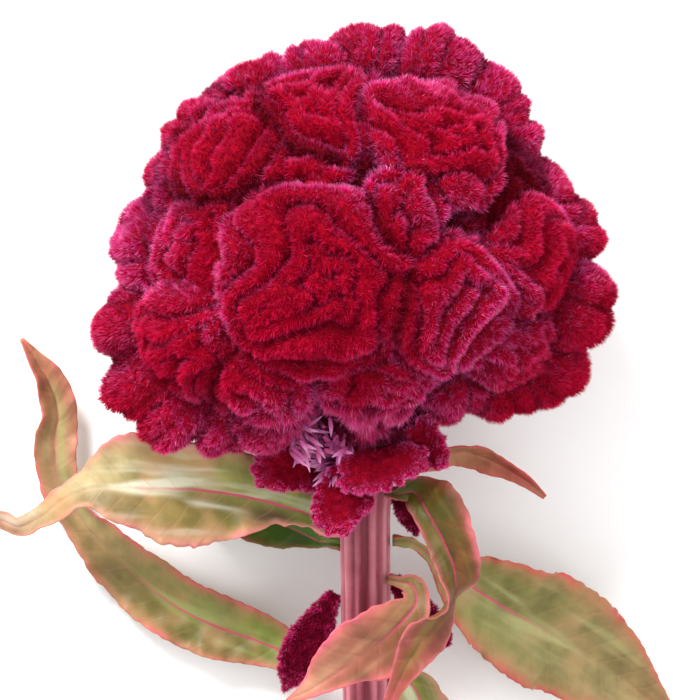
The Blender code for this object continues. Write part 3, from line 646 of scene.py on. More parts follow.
def build_stem(material):
    """Fine ribs and grooves down the stem, closed by a cut end."""
    length = np.linalg.norm(STEM_END - STEM_TOP)
    down = length * np.linspace(0, 1, FINE_STEM_RINGS)[:, None]
    angle = np.linspace(0, 2 * math.pi, FINE_STEM_SIDES, endpoint=False)[None, :]
    ribs = np.cos(STEM_RIBS * angle)
    sway = STEM_FIBRE_SWAY * np.sin(down / STEM_FIBRE_SWAY_LENGTH)
    fine = np.cos(STEM_FIBRES * angle + sway)
    outward = STEM_FIBRE_HEIGHT * fine - STEM_GROOVE_DEPTH * (ribs < STEM_GROOVE_START)
    side = stem_points(down, angle, outward)
    groove = np.broadcast_to(0.5 - 0.5 * ribs, fine.shape)
    centre = side[-1].mean(axis=0)
    shrink = np.linspace(1, 0, STEM_END_ROWS + 1)[1:, None, None]
    end = centre + (side[-1] - centre) * shrink - STEM_END_BULGE * stem_axis() * (1 - shrink)
    grid = np.concatenate((side, end))
    cut = np.concatenate((np.zeros(FINE_STEM_RINGS), 1 - shrink.ravel() * 0.8))
    groove = np.concatenate((groove, np.zeros((STEM_END_ROWS, FINE_STEM_SIDES))))
    run = np.concatenate((down.ravel(), np.full(STEM_END_ROWS, length)))
    points = grid.reshape(-1, 3)
    points[:, 2] = np.maximum(points[:, 2], 0.0)
    turn = np.broadcast_to(angle, (len(grid), FINE_STEM_SIDES))
    band = np.exp(-((turn - STEM_BAND_TURN) / STEM_BAND_WIDTH) ** 2)
    facts = {"groove": groove.ravel(), "band": band.ravel(), "cut": np.repeat(cut, FINE_STEM_SIDES),
             "run": np.repeat(run, FINE_STEM_SIDES)}
    faces = tube_faces(len(grid), FINE_STEM_SIDES)
    stem = make_piece("stem_skin", points, faces, facts, material)
    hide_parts("stem")


def tube_faces(rings, sides):
    """Four-cornered faces round a tube given ring after ring."""
    ring, side = np.meshgrid(np.arange(rings - 1), np.arange(sides), indexing="ij")
    here = ring * sides + side
    beside = ring * sides + (side + 1) % sides
    return np.stack((here, here + sides, beside + sides, beside), axis=-1).reshape(-1, 4)


# Blades: leaves and side crests


def smooth_rows(rows, count):
    """Rows of numbers read at even steps from a smooth curve through them."""
    rows = np.asarray(rows, float)
    spans = np.linalg.norm(np.diff(rows[:, :3], axis=0), axis=1)
    marks = np.concatenate(((0.0,), np.cumsum(spans)))
    slopes = np.gradient(rows, marks, axis=0)
    reads = np.linspace(0, marks[-1], count)
    place = np.clip(np.searchsorted(marks, reads, side="right") - 1, 0, len(rows) - 2)
    span = (marks[place + 1] - marks[place])[:, None]
    part = (reads - marks[place])[:, None] / span
    first, last = rows[place], rows[place + 1]
    curve = (1 + 2 * part) * (1 - part) ** 2 * first + part ** 2 * (3 - 2 * part) * last
    bend = part * (1 - part) ** 2 * slopes[place] - part ** 2 * (1 - part) * slopes[place + 1]
    return curve + bend * span, reads


def wave_along(reads, length, phase):
    return np.sin(reads * 2 * math.pi / length + phase)


def margin_teeth(reads, length, depth, phase):
    """Uneven teeth along a margin, as a share of the blade's half width."""
    fine = wave_along(reads, length, phase)
    second = wave_along(reads, SECOND_TOOTH_LENGTH * length, 2.3 * phase)
    return 1 + depth * (fine + SECOND_TOOTH * second)


def blade_grid(rows, across, fold, wave, wave_length, phase, tooth_length, tooth_depth):
    """Fine mid surface of a blade, with its place along, across and in millimetres."""
    length = np.linalg.norm(np.diff(np.asarray(rows)[:, :3], axis=0), axis=1).sum()
    count = max(24, int(length * ROWS_PER_MILLIMETRE))
    table, reads = smooth_rows(rows, count)
    spine = table[:, :3]
    bank = np.radians(table[:, 5])
    forward = unit(np.gradient(spine, axis=0))
    left = unit(np.cross((0.0, 0.0, 1.0), forward))
    above = np.cross(forward, left)
    side = left * np.cos(bank)[:, None] + above * np.sin(bank)[:, None]
    normal = above * np.cos(bank)[:, None] - left * np.sin(bank)[:, None]
    column = np.linspace(1, -1, across + 1)[None, :]
    half_left = np.maximum(table[:, 3], LEAST_HALF_WIDTH)[:, None]
    half_right = np.maximum(table[:, 4], LEAST_HALF_WIDTH)[:, None]
    half = np.where(column > 0, half_left, half_right)
    run = reads[:, None]
    turn = np.where(column > 0, phase, phase + 2.1)
    swell = wave_along(run, wave_length, turn)
    swell = swell + SECOND_WAVE * wave_along(run, SECOND_WAVE_LENGTH * wave_length, 2 * turn)
    crimp = CRIMP * wave_along(run, CRIMP_LENGTH * wave_length, 3 * turn)
    ruffle = wave * np.minimum(1.0, half / FULL_RUFFLE_WIDTH) * column ** 2
    ruffle = ruffle * (swell + crimp * column ** 4)
    lift = math.tan(math.radians(fold)) * half * np.abs(column) ** 1.3
    teeth = margin_teeth(run, tooth_length, tooth_depth, turn) * np.ones_like(column)
    teeth = 1 + (teeth - 1) * np.abs(column) ** 3
    offset = half * column * np.minimum(teeth, WIDEST_TOOTH)
    grid = spine[:, None] + side[:, None] * offset[..., None]
    grid = grid + normal[:, None] * (lift + ruffle)[..., None]
    facts = {"along": np.broadcast_to(run / reads[-1], offset.shape), "offset": offset,
             "aside": np.broadcast_to(np.abs(column), offset.shape),
             "run": np.broadcast_to(run, offset.shape)}
    return grid, facts


def grid_normals(grid):
    along = np.gradient(grid, axis=0)
    aside = np.gradient(grid, axis=1)
    return unit(np.cross(aside, along))


def blade_shell(grid, half_thickness):
    """Closed shell round a grid, in four-cornered faces."""
    count, columns = grid.shape[:2]
    normals = grid_normals(grid)
    upper = grid + normals * half_thickness[..., None]
    lower = grid - normals * half_thickness[..., None]
    points = np.concatenate((upper.reshape(-1, 3), lower.reshape(-1, 3)))
    other = count * columns
    row, column = np.meshgrid(np.arange(count - 1), np.arange(columns - 1), indexing="ij")
    here = (row * columns + column).ravel()
    top = np.stack((here, here + 1, here + columns + 1, here + columns), axis=1)
    rim = list(range(columns))
    rim += [row * columns + columns - 1 for row in range(1, count)]
    rim += [(count - 1) * columns + place for place in range(columns - 2, -1, -1)]
    rim += [row * columns for row in range(count - 2, 0, -1)]
    start = np.array(rim)
    end = np.roll(start, -1)
    edge = np.stack((start, start + other, end + other, end), axis=1)
    return points, np.concatenate((top, top[:, ::-1] + other, edge))


def vein_relief(facts, spacing, height):
    """Low ridges along the side veins and a raised midrib."""
    reach = facts["run"] - VEIN_SLANT * np.abs(facts["offset"])
    vein = np.maximum(0.0, np.cos(reach * 2 * math.pi / spacing)) ** 10
    rib = np.exp(-(facts["offset"] / RIB_HALF_WIDTH) ** 2)
    return height * (0.12 * vein * (1 - facts["aside"] ** 3) + 1.4 * rib)


def build_leaf(name, rows, material, slot, fold, wave, wave_length, phase, hollow=None):
    """A leaf with raised veins, ruffled margins and a stalk that thickens to its seat."""
    grid, facts = blade_grid(rows, LEAF_COLUMNS, fold, wave, wave_length, phase,
                             LEAF_TOOTH_LENGTH, LEAF_TOOTH_DEPTH)
    normals = grid_normals(grid)
    quilt = wave_field(grid.reshape(-1, 3), QUILT_SIZE, FIELD_SEED).reshape(grid.shape[:2])
    quilt = QUILT_HEIGHT * quilt * np.minimum(1.0, facts["along"] * 6)
    relief = vein_relief(facts, VEIN_SPACING, VEIN_SINK) + quilt
    facts["hollow"] = np.zeros(facts["offset"].shape)
    if hollow:
        beyond = (facts["run"] - hollow[0]) / HOLLOW_HALF_LENGTH
        beside = (facts["offset"] - hollow[1]) / HOLLOW_HALF_WIDTH
        facts["hollow"] = np.exp(-(beyond ** 2 + beside ** 2))
        relief = relief - HOLLOW_DEPTH * facts["hollow"]
    grid = grid + normals * relief[..., None]
    grid[:, :, 2] = np.maximum(grid[:, :, 2], FLOOR_CLEARANCE)
    stalk = np.clip(1 - facts["along"] / PETIOLE_END, 0, 1)
    thick = LEAF_THICKNESS + (PETIOLE_THICKNESS - LEAF_THICKNESS) * stalk
    thick = thick * (1 - LEAF_MARGIN_THINNING * facts["aside"] ** 2 * (1 - stalk))
    points, faces = blade_shell(grid, thick / 2)
    points[:, 2] = np.maximum(points[:, 2], 0.0)
    doubled = {key: np.tile(values.ravel(), 2) for key, values in facts.items()}
    leaf = make_piece(name + "_skin", points, faces, doubled, material)
    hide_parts(name)


def on_stem(down, turn, clear):
    return stem_points(float(down), math.radians(turn), clear + STEM_RIB_HEIGHT)


def from_stem(down, turn, half, bank=0.0):
    """First two rows of a leaf: at its seat on the stem and a little further out."""
    seat = on_stem(down, turn, SEAT_GAP)
    beyond = on_stem(down, turn, SEAT_GAP + SEAT_REACH)
    return [(*seat, half, half, bank), (*beyond, half, half, bank)]


def along_stem(down, turn, half, seat=SIDE_CREST_SEAT):
    """First row of a side crest, whose underside leaves the stem at a low angle."""
    return [(*on_stem(down, turn, seat), half, half, 0.0)]


# Rows after the seat: midrib x, y, z, half width left and right, bank in degrees
LEAF_LEFT_UPPER = (
    (-9, -70, 35.8, 3, 5.6, 0),
    (-15.7, -67.5, 36, 5, 6.2, 0),
    (-25.9, -65, 35, 10, 10.7, -6),
    (-37.5, -63.2, 34, 14.8, 13.3, -14),
    (-49.2, -62.9, 31, 13.3, 14.9, -10),
    (-59.7, -62.8, 28, 9.3, 12.9, 0),
    (-67.2, -63.4, 26, 5.2, 7.2, 18),
    (-74.4, -66.4, 24, 4.7, 3.6, 35),
    (-80.6, -71.2, 22, 3.4, 3.1, 30),
    (-86.5, -73.5, 20, 2.6, 2.6, -20),
    (-92.8, -71, 18, 3.1, 3.1, -40),
    (-98, -69, 17, 2.2, 2.2, -20),
    (-103.5, -68.1, 16, 0.5, 0.5, 0),
)
LEAF_LEFT_LOWER = (
    (-9, -112.2, 15, 1.4, 1.4, 0),
    (-16.9, -108, 10, 4.6, 6, 0),
    (-25.7, -104.5, 7.5, 6.8, 8, 0),
    (-35.1, -101.4, 6.5, 8.4, 8.6, 5),
    (-45.2, -96.7, 5.5, 9, 8.2, 8),
    (-56, -88.8, 5, 8.6, 8, 0),
    (-65, -80.3, 5, 6.9, 6.6, -10),
    (-72.5, -71.5, 6, 5.3, 5, -20),
    (-77.3, -62.2, 7, 5.3, 5.3, -10),
    (-78.4, -52.8, 8, 5.6, 5.6, 10),
    (-77.5, -43.5, 9, 5, 5.1, 25),
    (-80, -35.4, 11, 4, 4.2, 30),
    (-83.4, -29.4, 13, 2.2, 2.2, 25),
    (-86.2, -24.6, 15, 0.5, 0.5, 20),
)
LEAF_RIGHT_BROAD = (
    (20, -79.8, 29, 1.6, 1.6, 0),
    (29.2, -87, 27, 8, 8, 0),
    (38.4, -93.3, 23, 12.8, 12.8, 6),
    (50.4, -100.6, 17, 16.2, 15.2, 8),
    (62.7, -108.3, 11.5, 14.2, 13.2, 4),
    (73.3, -115.6, 7.5, 9, 8, 0),
    (82.2, -122.7, 5, 4, 4, 0),
    (90.3, -129.5, 4, 0.5, 0.5, 0),
)
LEAF_RIGHT_NARROW = (
    (16.8, -57.6, 31, 1.6, 1.6, 30),
    (21.5, -55, 28, 3.6, 3.6, 45),
    (27.5, -53.6, 26, 4.6, 4.6, 50),
    (33.2, -54.6, 24, 4.4, 4.4, 45),
    (39.8, -57.8, 22, 3.2, 3.2, 35),
    (45.9, -61.6, 20, 1.7, 1.7, 20),
    (51, -66, 18, 0.5, 0.5, 0),
)
LEAF_TWISTED = (
    (15.6, -63, 47.5, 4, 3, 10),
    (19.2, -67.7, 52, 10.5, 3.8, 18),
    (22.6, -73.7, 54, 9.5, 4.2, 22),
    (25.2, -79.8, 55, 7.2, 4.4, 8),
    (25.9, -85.3, 55, 4.8, 4.2, -35),
    (24.4, -89.9, 54, 3.6, 3.8, -75),
    (21.4, -94.3, 52, 4.6, 4.6, -40),
    (17.9, -99.5, 50, 5.6, 5.4, -12),
    (14.5, -105.2, 49, 3.9, 3.7, 0),
    (11.4, -111.7, 47.5, 2.2, 2, 10),
    (8.4, -119.2, 45, 1.2, 1.2, 20),
    (6, -125, 42, 0.5, 0.5, 20),
)
LEAF_FRONT_LOW = (
    (15.6, -87.2, 37.5, 3, 3, 0),
    (16.8, -91, 39.5, 3.5, 3.4, 0),
    (13.6, -95.6, 40.5, 6.2, 6.6, -6),
    (8.2, -100.5, 40, 9.6, 9.6, -12),
    (1.5, -105.8, 39, 6.6, 9.6, -10),
    (-5, -110.5, 38, 3.4, 7, 0),
    (-11.1, -114.3, 37, 1.8, 2.6, 15),
    (-16.2, -117, 36, 0.5, 0.5, 20),
)
LEAF_DARK_SMALL = (
    (-9, -77, 20, 2.4, 2.4, 0),
    (-14.9, -74.6, 15, 5.6, 5.4, 0),
    (-25.6, -71.1, 10.5, 7, 6.6, 4),
    (-36.3, -67.3, 8.5, 5.4, 5.2, 0),
    (-46.8, -63.8, 7, 0.5, 0.5, 0),
)
LEAF_LOW_RIGHT = (
    (15, -113.5, 24, 3.4, 3.4, 0),
    (19, -120, 22, 6, 5.8, -8),
    (24, -129, 17, 5.6, 5.2, -10),
    (30, -139, 11, 3.4, 3.2, 0),
    (34.5, -147, 7, 0.5, 0.5, 0),
)
LEAF_UNDER_LEFT = (
    (-9, -139, 10, 3.4, 3.4, 0),
    (-20, -143, 6.5, 7.2, 7.2, 0),
    (-34, -146, 5, 9, 8.6, 0),
    (-48, -146.5, 4.5, 7, 6.8, 0),
    (-60, -144.5, 4, 3.4, 3.4, 0),
    (-69, -141, 4, 0.5, 0.5, 0),
)
SIDE_CREST_RIGHT = (
    (17.2, -52.6, 49, 4.2, 4.2, 0),
    (19.6, -51.2, 52.5, 6.6, 5.6, 0),
    (22.8, -49.8, 54.5, 6.8, 5.8, 0),
)
SIDE_CREST_FRONT = (
    (6.4, -54.6, 54, 8, 8, 0),
    (7.6, -57.8, 56, 11.6, 10.4, 0),
    (8.8, -61.2, 56.5, 9.6, 6.6, 0),
)
SIDE_CREST_TONGUE = (
    (-0.8, -62.4, 50.5, 6.8, 6.6, 0),
    (-3.2, -67.4, 51, 5.6, 5.8, 0),
    (-4.8, -72.6, 50.5, 3.8, 3.8, 0),
)
SIDE_CREST_LEFT = (
    (-11.5, -56.2, 44.5, 6, 5.4, 0),
    (-17.5, -57.2, 45, 5.2, 5, 0),
    (-23.8, -58.2, 44, 3.2, 3.4, 0),
)
SIDE_CREST_BEHIND = (
    (14.6, -66.5, 33, 3.2, 3.2, 0),
    (16, -70.5, 31, 3, 3, 0),
    (16.6, -74, 29.5, 1.2, 1.2, 0),
)
SIDE_CREST_LOW_LEFT = (
    (-7.6, -97, 25, 3.6, 3.6, 0),
    (-10.6, -102.5, 24, 5, 5, 0),
    (-14, -109, 22.5, 4.4, 4.4, 0),
    (-16.6, -115.5, 21, 1.6, 1.6, 0),
)
SIDE_CREST_LOW_RIGHT = (
    (16.6, -93, 25, 3, 3, 0),
    (21, -98, 23, 3, 3, 0),
    (25.8, -103.5, 21, 1, 1, 0),
)


# Leaves: name, seat on the stem, rows, look, slot, then fold, height, length and phase of the
# waves, and the place of a hollow; a seat's distance down, turn, half width and bank
LEAVES = (
    ("leaf_left_upper", (27, 165, 1.6), LEAF_LEFT_UPPER, "pale", "leaf",
     (8, 1.8, 21, 0.4, (18.5, 3.7))),
    ("leaf_left_lower", (66, 195, 1.4), LEAF_LEFT_LOWER, "reddish", "leaf", (14, 1.3, 19, 1.3)),
    ("leaf_right_broad", (31, 5, 1.3), LEAF_RIGHT_BROAD, "broad", "leaf", (8, 1.6, 20, 2.2)),
    ("leaf_right_narrow", (13, -20, 1.2, 20), LEAF_RIGHT_NARROW, "russet", "leaf_russet",
     (20, 0.8, 16, 0.2)),
    ("leaf_twisted", (16, 42, 1.3), LEAF_TWISTED, "twisted", "leaf_rose", (14, 1.1, 15, 0.9)),
    ("leaf_front_low", (40, 35, 1.3), LEAF_FRONT_LOW, "rosy", "leaf_rose", (8, 1.3, 15, 1.8)),
    ("leaf_dark_small", (33, 205, 1.3), LEAF_DARK_SMALL, "dark", "leaf_dark", (16, 1.0, 15, 0.7)),
    ("leaf_low_right", (69, 10, 1.3), LEAF_LOW_RIGHT, "pale", "leaf", (14, 1.2, 15, 2.6)),
    ("leaf_under_left", (96, 190, 1.4), LEAF_UNDER_LEFT, "pale", "leaf", (12, 1.2, 19, 1.1)),
)
# Side crests: name, seat on the stem, rows, slot, and phase and height of the waves
SIDE_CRESTS = (
    ("side_crest_right", (5, 20, 4.5), SIDE_CREST_RIGHT, "side_crest", 0.3, 1.5),
    ("side_crest_front", (4.5, 76, 6.0, STEEP_SEAT), SIDE_CREST_FRONT, "side_crest", 1.1, 1.0),
    ("side_crest_tongue", (12.5, 92, 5.0), SIDE_CREST_TONGUE, "side_crest", 2.0, 1.5),
    ("side_crest_left", (11, 165, 5.4), SIDE_CREST_LEFT, "side_crest", 2.8, 1.5),
    ("side_crest_behind", (19, -30, 1.8), SIDE_CREST_BEHIND, "side_crest_dark", 0.8, 1.5),
    ("side_crest_low_left", (46, 185, 1.4), SIDE_CREST_LOW_LEFT, "side_crest_dark", 1.6, 1.5),
    ("side_crest_low_right", (43, -15, 1.5), SIDE_CREST_LOW_RIGHT, "side_crest_dark", 2.4, 1.5),
)


def build_leaves(looks):
    for name, seat, rows, look, slot, form in LEAVES:
        build_leaf(name, from_stem(*seat) + list(rows), looks[look], slot, *form)


def jagged_end(grid, facts, phase):
    """Shifts along a flap that round the corners of its free end and notch it."""
    forward = unit(np.gradient(grid.mean(axis=1), axis=0))
    offset = facts["offset"]
    notches = wave_along(offset, END_TOOTH_WIDTH, phase)
    notches = notches + 0.6 * wave_along(offset, SECOND_WAVE_LENGTH * END_TOOTH_WIDTH, 2 * phase)
    shift = END_TOOTH_LENGTH * notches - END_ROUNDING * facts["aside"] ** 2
    shift = shift * np.clip((facts["along"] - 0.5) / 0.5, 0, 1) ** 2
    return forward[:, None] * shift[..., None]


def build_side_crest(name, rows, material, phase, wave):
    """A velvety flap: a thick blade with a toothed margin, covered with pile."""
    grid, facts = blade_grid(rows, SIDE_CREST_COLUMNS, SIDE_CREST_FOLD, wave,
                             SIDE_CREST_WAVE_LENGTH, phase, SIDE_CREST_TOOTH_LENGTH,
                             SIDE_CREST_TOOTH_DEPTH)
    grid = grid + jagged_end(grid, facts, phase)
    grid[:, :, 2] = np.maximum(grid[:, :, 2], FLOOR_CLEARANCE)
    thick = np.full(grid.shape[:2], SIDE_CREST_THICKNESS)
    points, faces = blade_shell(grid, thick / 2)
    points[:, 2] = np.maximum(points[:, 2], 0.0)
    count = len(points)
    # Rim: 1 at the flap's margins and free end, where the tips get a painted sheen; away from it a
    # lower ridge paints shade on the flap's middle
    rim = np.maximum(facts["aside"] ** 2, (facts["along"] - 0.55) / 0.45)
    rim = np.tile(np.clip((rim.ravel() - 0.45) / 0.5, 0, 1), 2)
    skin_facts = {"reach": np.zeros(count), "tone": np.full(count, 0.5), "pale_tips_and_painted_light": rim * 0.6,
                  "ridge": np.full(count, 0.7), "clear": np.ones(count)}
    skin = make_piece(name + "_skin", points, faces, skin_facts, material)
    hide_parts(name)
    triangles = np.concatenate((faces[:, :3], faces[:, [0, 2, 3]]))
    normals, areas = corner_normals(points, triangles)
    spine = grid.mean(axis=1)
    forward = np.repeat(unit(np.gradient(spine, axis=0)), grid.shape[1], axis=0)
    # Hair: painted sheen of pink tips at the rim, painted shade in the middle through a lower ridge
    # value
    hair_facts = {"pale_tips_and_painted_light": 0.15 + 0.85 * rim, "ridge": 0.55 + 0.45 * rim, "clear": np.ones(count)}
    for axis in range(3):
        hair_facts["forward%d" % axis] = np.tile(forward[:, axis], 2)
    rng = np.random.default_rng(SIDE_CREST_HAIR_SEED + len(name))
    hairs = int(areas.sum() * SIDE_CREST_HAIRS)
    roots = scatter(rng, points, normals, triangles, areas, hair_facts, hairs)
    roots["outward"] = unit(np.stack([roots["forward%d" % axis] for axis in range(3)], axis=1))
    add_pile(rng, name + "_pile", roots, SIDE_CREST_HAIR_LENGTH, material)


def build_side_crests(velvets):
    for name, seat, rows, slot, phase, wave in SIDE_CRESTS:
        build_side_crest(name, along_stem(*seat) + list(rows), velvets[slot], phase, wave)


# Floret cluster: slim straps that fan out in front of the neck


def strap_rings(root, direction, length, bend):
    """Rings of a strap that widens, bends a little and comes to a point."""
    across, along = tangents(direction[None, :])
    across, along = across[0], along[0]
    angles = np.linspace(0, 2 * math.pi, STRAP_SIDES, endpoint=False)
    rings = []
    for part in np.linspace(0, 1, STRAP_RINGS):
        width = FLORET_HALF_WIDTH * math.sin(math.pi * min(0.999, 0.18 + 0.8 * part)) ** 0.8
        centre = root + direction * length * part + bend * part ** 2
        keel = STRAP_KEEL * width * np.abs(np.cos(angles))
        spread = np.cos(angles)[:, None] * across * width
        depth = (np.sin(angles) * STRAP_DEPTH * width + keel)[:, None] * along
        rings.append(centre + spread + depth)
    return np.array(rings)


def build_floret_cluster(material):
    angle = math.radians(FLORET_TURN)
    clear = FLORET_CORE_RADIUS + SEAT_GAP + STEM_RIB_HEIGHT + 0.3
    centre = stem_points(FLORET_DOWN, angle, clear)
    outward = unit(centre - (STEM_TOP + FLORET_DOWN * stem_axis()))
    directions = spiral_directions(FLORET_COUNT * 3)
    facing = (directions @ outward >= FLORET_SPREAD) & (directions[:, 1] <= FLORET_HIGHEST)
    directions = directions[facing][:FLORET_COUNT]
    rng = np.random.default_rng(FLORET_SEED)
    straps = []
    for direction in directions:
        length = FLORET_LENGTH * STRAP_STRETCH * rng.uniform(*FLORET_LENGTHS)
        for twin in range(STRAPS_PER_FLORET):
            aim = unit(direction + (TWIN_SPREAD if twin else 0.0) * rng.normal(size=3))
            share = rng.uniform(*TWIN_LENGTHS) if twin else 1.0
            straps.append((centre + aim * FLORET_CORE_RADIUS * 0.3, aim, length * share))
    places = rng.uniform(-1, 1, (HANGING_FLORETS, 3))
    for start in HANGING_FLORETS_MIDDLE + HANGING_FLORETS_REACH * places:
        aim = unit(unit(centre - start) + HANGING_SPREAD * rng.normal(size=3))
        straps.append((start, aim, rng.uniform(*HANGING_LENGTHS) * FLORET_LENGTH))
    rings = [strap_rings(*strap, STRAP_BEND * rng.normal(size=3)).reshape(-1, 3)
             for strap in straps]
    size = STRAP_RINGS * STRAP_SIDES
    strap = tube_faces(STRAP_RINGS, STRAP_SIDES)
    faces = np.concatenate([strap + index * size for index in range(len(rings))])
    reach = np.tile(np.repeat(np.linspace(0, 1, STRAP_RINGS), STRAP_SIDES), len(rings))
    facts = {"reach": reach, "tone": np.repeat(rng.random(len(rings)), size)}
    cluster = make_piece("floret_cluster_skin", np.concatenate(rings), faces, facts, material)
    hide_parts("floret_cluster")


# Materials


class Nodes:
    """Short ways to add and join a material's nodes."""

    def __init__(self, name):
        self.material = bpy.data.materials.new(name)
        self.material.use_nodes = True
        self.tree = self.material.node_tree
        self.shader = self.tree.nodes["Principled BSDF"]

    def plug(self, value, socket):
        if isinstance(value, bpy.types.NodeSocket):
            self.tree.links.new(value, socket)
        else:
            socket.default_value = value

    def fact(self, name):
        node = self.tree.nodes.new("ShaderNodeAttribute")
        node.attribute_name = name
        return node.outputs["Fac"]

    def math(self, operation, first, second=0.0, clamp=False):
        node = self.tree.nodes.new("ShaderNodeMath")
        node.operation = operation
        node.use_clamp = clamp
        self.plug(first, node.inputs[0])
        self.plug(second, node.inputs[1])
        return node.outputs[0]

    def times(self, first, second, clamp=False):
        return self.math("MULTIPLY", first, second, clamp)

    def line(self, value, slope, start):
        """A value times a slope, plus a start."""
        result = self.math("MULTIPLY_ADD", value, slope)
        self.plug(start, result.node.inputs[2])
        return result

    def between(self, value, low, high):
        """0 below low, 1 above high, and smooth between them."""
        node = self.tree.nodes.new("ShaderNodeMapRange")
        node.interpolation_type = "SMOOTHSTEP"
        self.plug(value, node.inputs["Value"])
        node.inputs["From Min"].default_value = low
        node.inputs["From Max"].default_value = high
        return node.outputs["Result"]

    def noise(self, size, detail=3.0, roughness=0.55):
        """Noise from 0 to 1 with patches of a size in millimetres."""
        place = self.tree.nodes.new("ShaderNodeTexCoord")
        node = self.tree.nodes.new("ShaderNodeTexNoise")
        node.inputs["Scale"].default_value = 1 / (size * METRES)
        node.inputs["Detail"].default_value = detail
        node.inputs["Roughness"].default_value = roughness
        self.tree.links.new(place.outputs["Object"], node.inputs["Vector"])
        return node.outputs["Fac"]

    def streaks(self):
        """Noise drawn out along a blade."""
        join = self.tree.nodes.new("ShaderNodeCombineXYZ")
        self.plug(self.times(self.fact("run"), 0.03), join.inputs[0])
        self.plug(self.times(self.fact("offset"), 0.21), join.inputs[1])
        node = self.tree.nodes.new("ShaderNodeTexNoise")
        node.inputs["Scale"].default_value = 1.0
        self.tree.links.new(join.outputs[0], node.inputs["Vector"])
        return node.outputs["Fac"]

    def mix(self, share, first, second, blend="MIX"):
        node = self.tree.nodes.new("ShaderNodeMix")
        node.data_type = "RGBA"
        node.blend_type = blend
        self.plug(share, node.inputs[0])
        self.plug(first, node.inputs[6])
        self.plug(second, node.inputs[7])
        return node.outputs[2]

    def tint(self, colour, shade):
        return self.mix(1.0, colour, shade, "MULTIPLY")

    def ramp(self, share, stops):
        node = self.tree.nodes.new("ShaderNodeValToRGB")
        elements = node.color_ramp.elements
        elements[0].position, elements[0].color = stops[0]
        elements[1].position, elements[1].color = stops[-1]
        for position, stop in stops[1:-1]:
            elements.new(position).color = stop
        self.tree.links.new(share, node.inputs[0])
        return node.outputs[0]

    def bump(self, height, depth):
        """Bump whose highest point stands a depth in millimetres above its lowest."""
        node = self.tree.nodes.new("ShaderNodeBump")
        node.inputs["Distance"].default_value = depth * METRES
        self.tree.links.new(height, node.inputs["Height"])
        self.tree.links.new(node.outputs[0], self.shader.inputs["Normal"])

    def glow(self, weight, radius):
        """Light that spreads under the surface, by a radius for red, green and blue."""
        self.shader.inputs["Subsurface Weight"].default_value = weight
        self.shader.inputs["Subsurface Radius"].default_value = radius

    def finish(self, colour, roughness, specular):
        self.tree.links.new(colour, self.shader.inputs["Base Color"])
        self.plug(roughness, self.shader.inputs["Roughness"])
        self.shader.inputs["Specular IOR Level"].default_value = specular
        return self.material


def paint(red, green, blue):
    """Screen colour, 0 to 255, as the linear colour that a node takes."""
    screen = np.array((red, green, blue)) / 255
    linear = np.where(screen <= 0.04045, screen / 12.92, ((screen + 0.055) / 1.055) ** 2.4)
    return (*linear.tolist(), 1.0)


WHITE = paint(255, 255, 255)
FLECK = paint(252, 206, 214)
SHADED_HALF = paint(208, 196, 180)
# Painted shade colour for a leaf's hollow
HOLLOW_SHADE_BROWN = paint(74, 52, 30)


def velvet_material(name, screens):
    """Pile: dark at the root, bright along the hair, pink at pale tips and where sheen and highlight
    are painted, with painted shade in fold grooves and crevices.
    """
    nodes = Nodes(name)
    root, middle, tip, sheen_and_pale_middle, sheen_and_pale_tip = (paint(*screen) for screen in screens)
    reach = nodes.fact("reach")
    red = nodes.ramp(reach, [(0.0, root), (0.5, middle), (1.0, tip)])
    pink = nodes.ramp(reach, [(0.0, root), (0.4, sheen_and_pale_middle), (1.0, sheen_and_pale_tip)])
    # Pink tips are mixed in for pale tips and for the painted sheen and highlight
    share = nodes.line(nodes.fact("tone"), 0.9, 0.4)
    share = nodes.times(share, nodes.fact("pale_tips_and_painted_light"), clamp=True)
    colour = nodes.mix(share, red, pink)
    fleck = nodes.times(nodes.between(nodes.fact("tone"), 0.95, 0.97), reach)
    fleck = nodes.times(fleck, nodes.fact("pale_tips_and_painted_light"))
    colour = nodes.mix(fleck, colour, FLECK)
    # Painted shade: the pile is darkened low in the grooves of the folds
    groove = nodes.ramp(nodes.fact("ridge"), [(0.0, paint(150, 100, 115)), (0.4, paint(232, 222, 227)),
                                              (1.0, WHITE)])
    colour = nodes.tint(colour, groove)
    # Painted shade: the pile is darkened in the crevices where lobes meet
    crevice_shade = nodes.ramp(nodes.fact("clear"), [(0.0, paint(150, 110, 120)), (1.0, WHITE)])
    colour = nodes.tint(colour, crevice_shade)
    patch = nodes.ramp(nodes.noise(9.0), [(0.3, paint(225, 212, 218)), (0.7, WHITE)])
    colour = nodes.tint(colour, patch)
    return nodes.finish(colour, 0.8, 0.06)


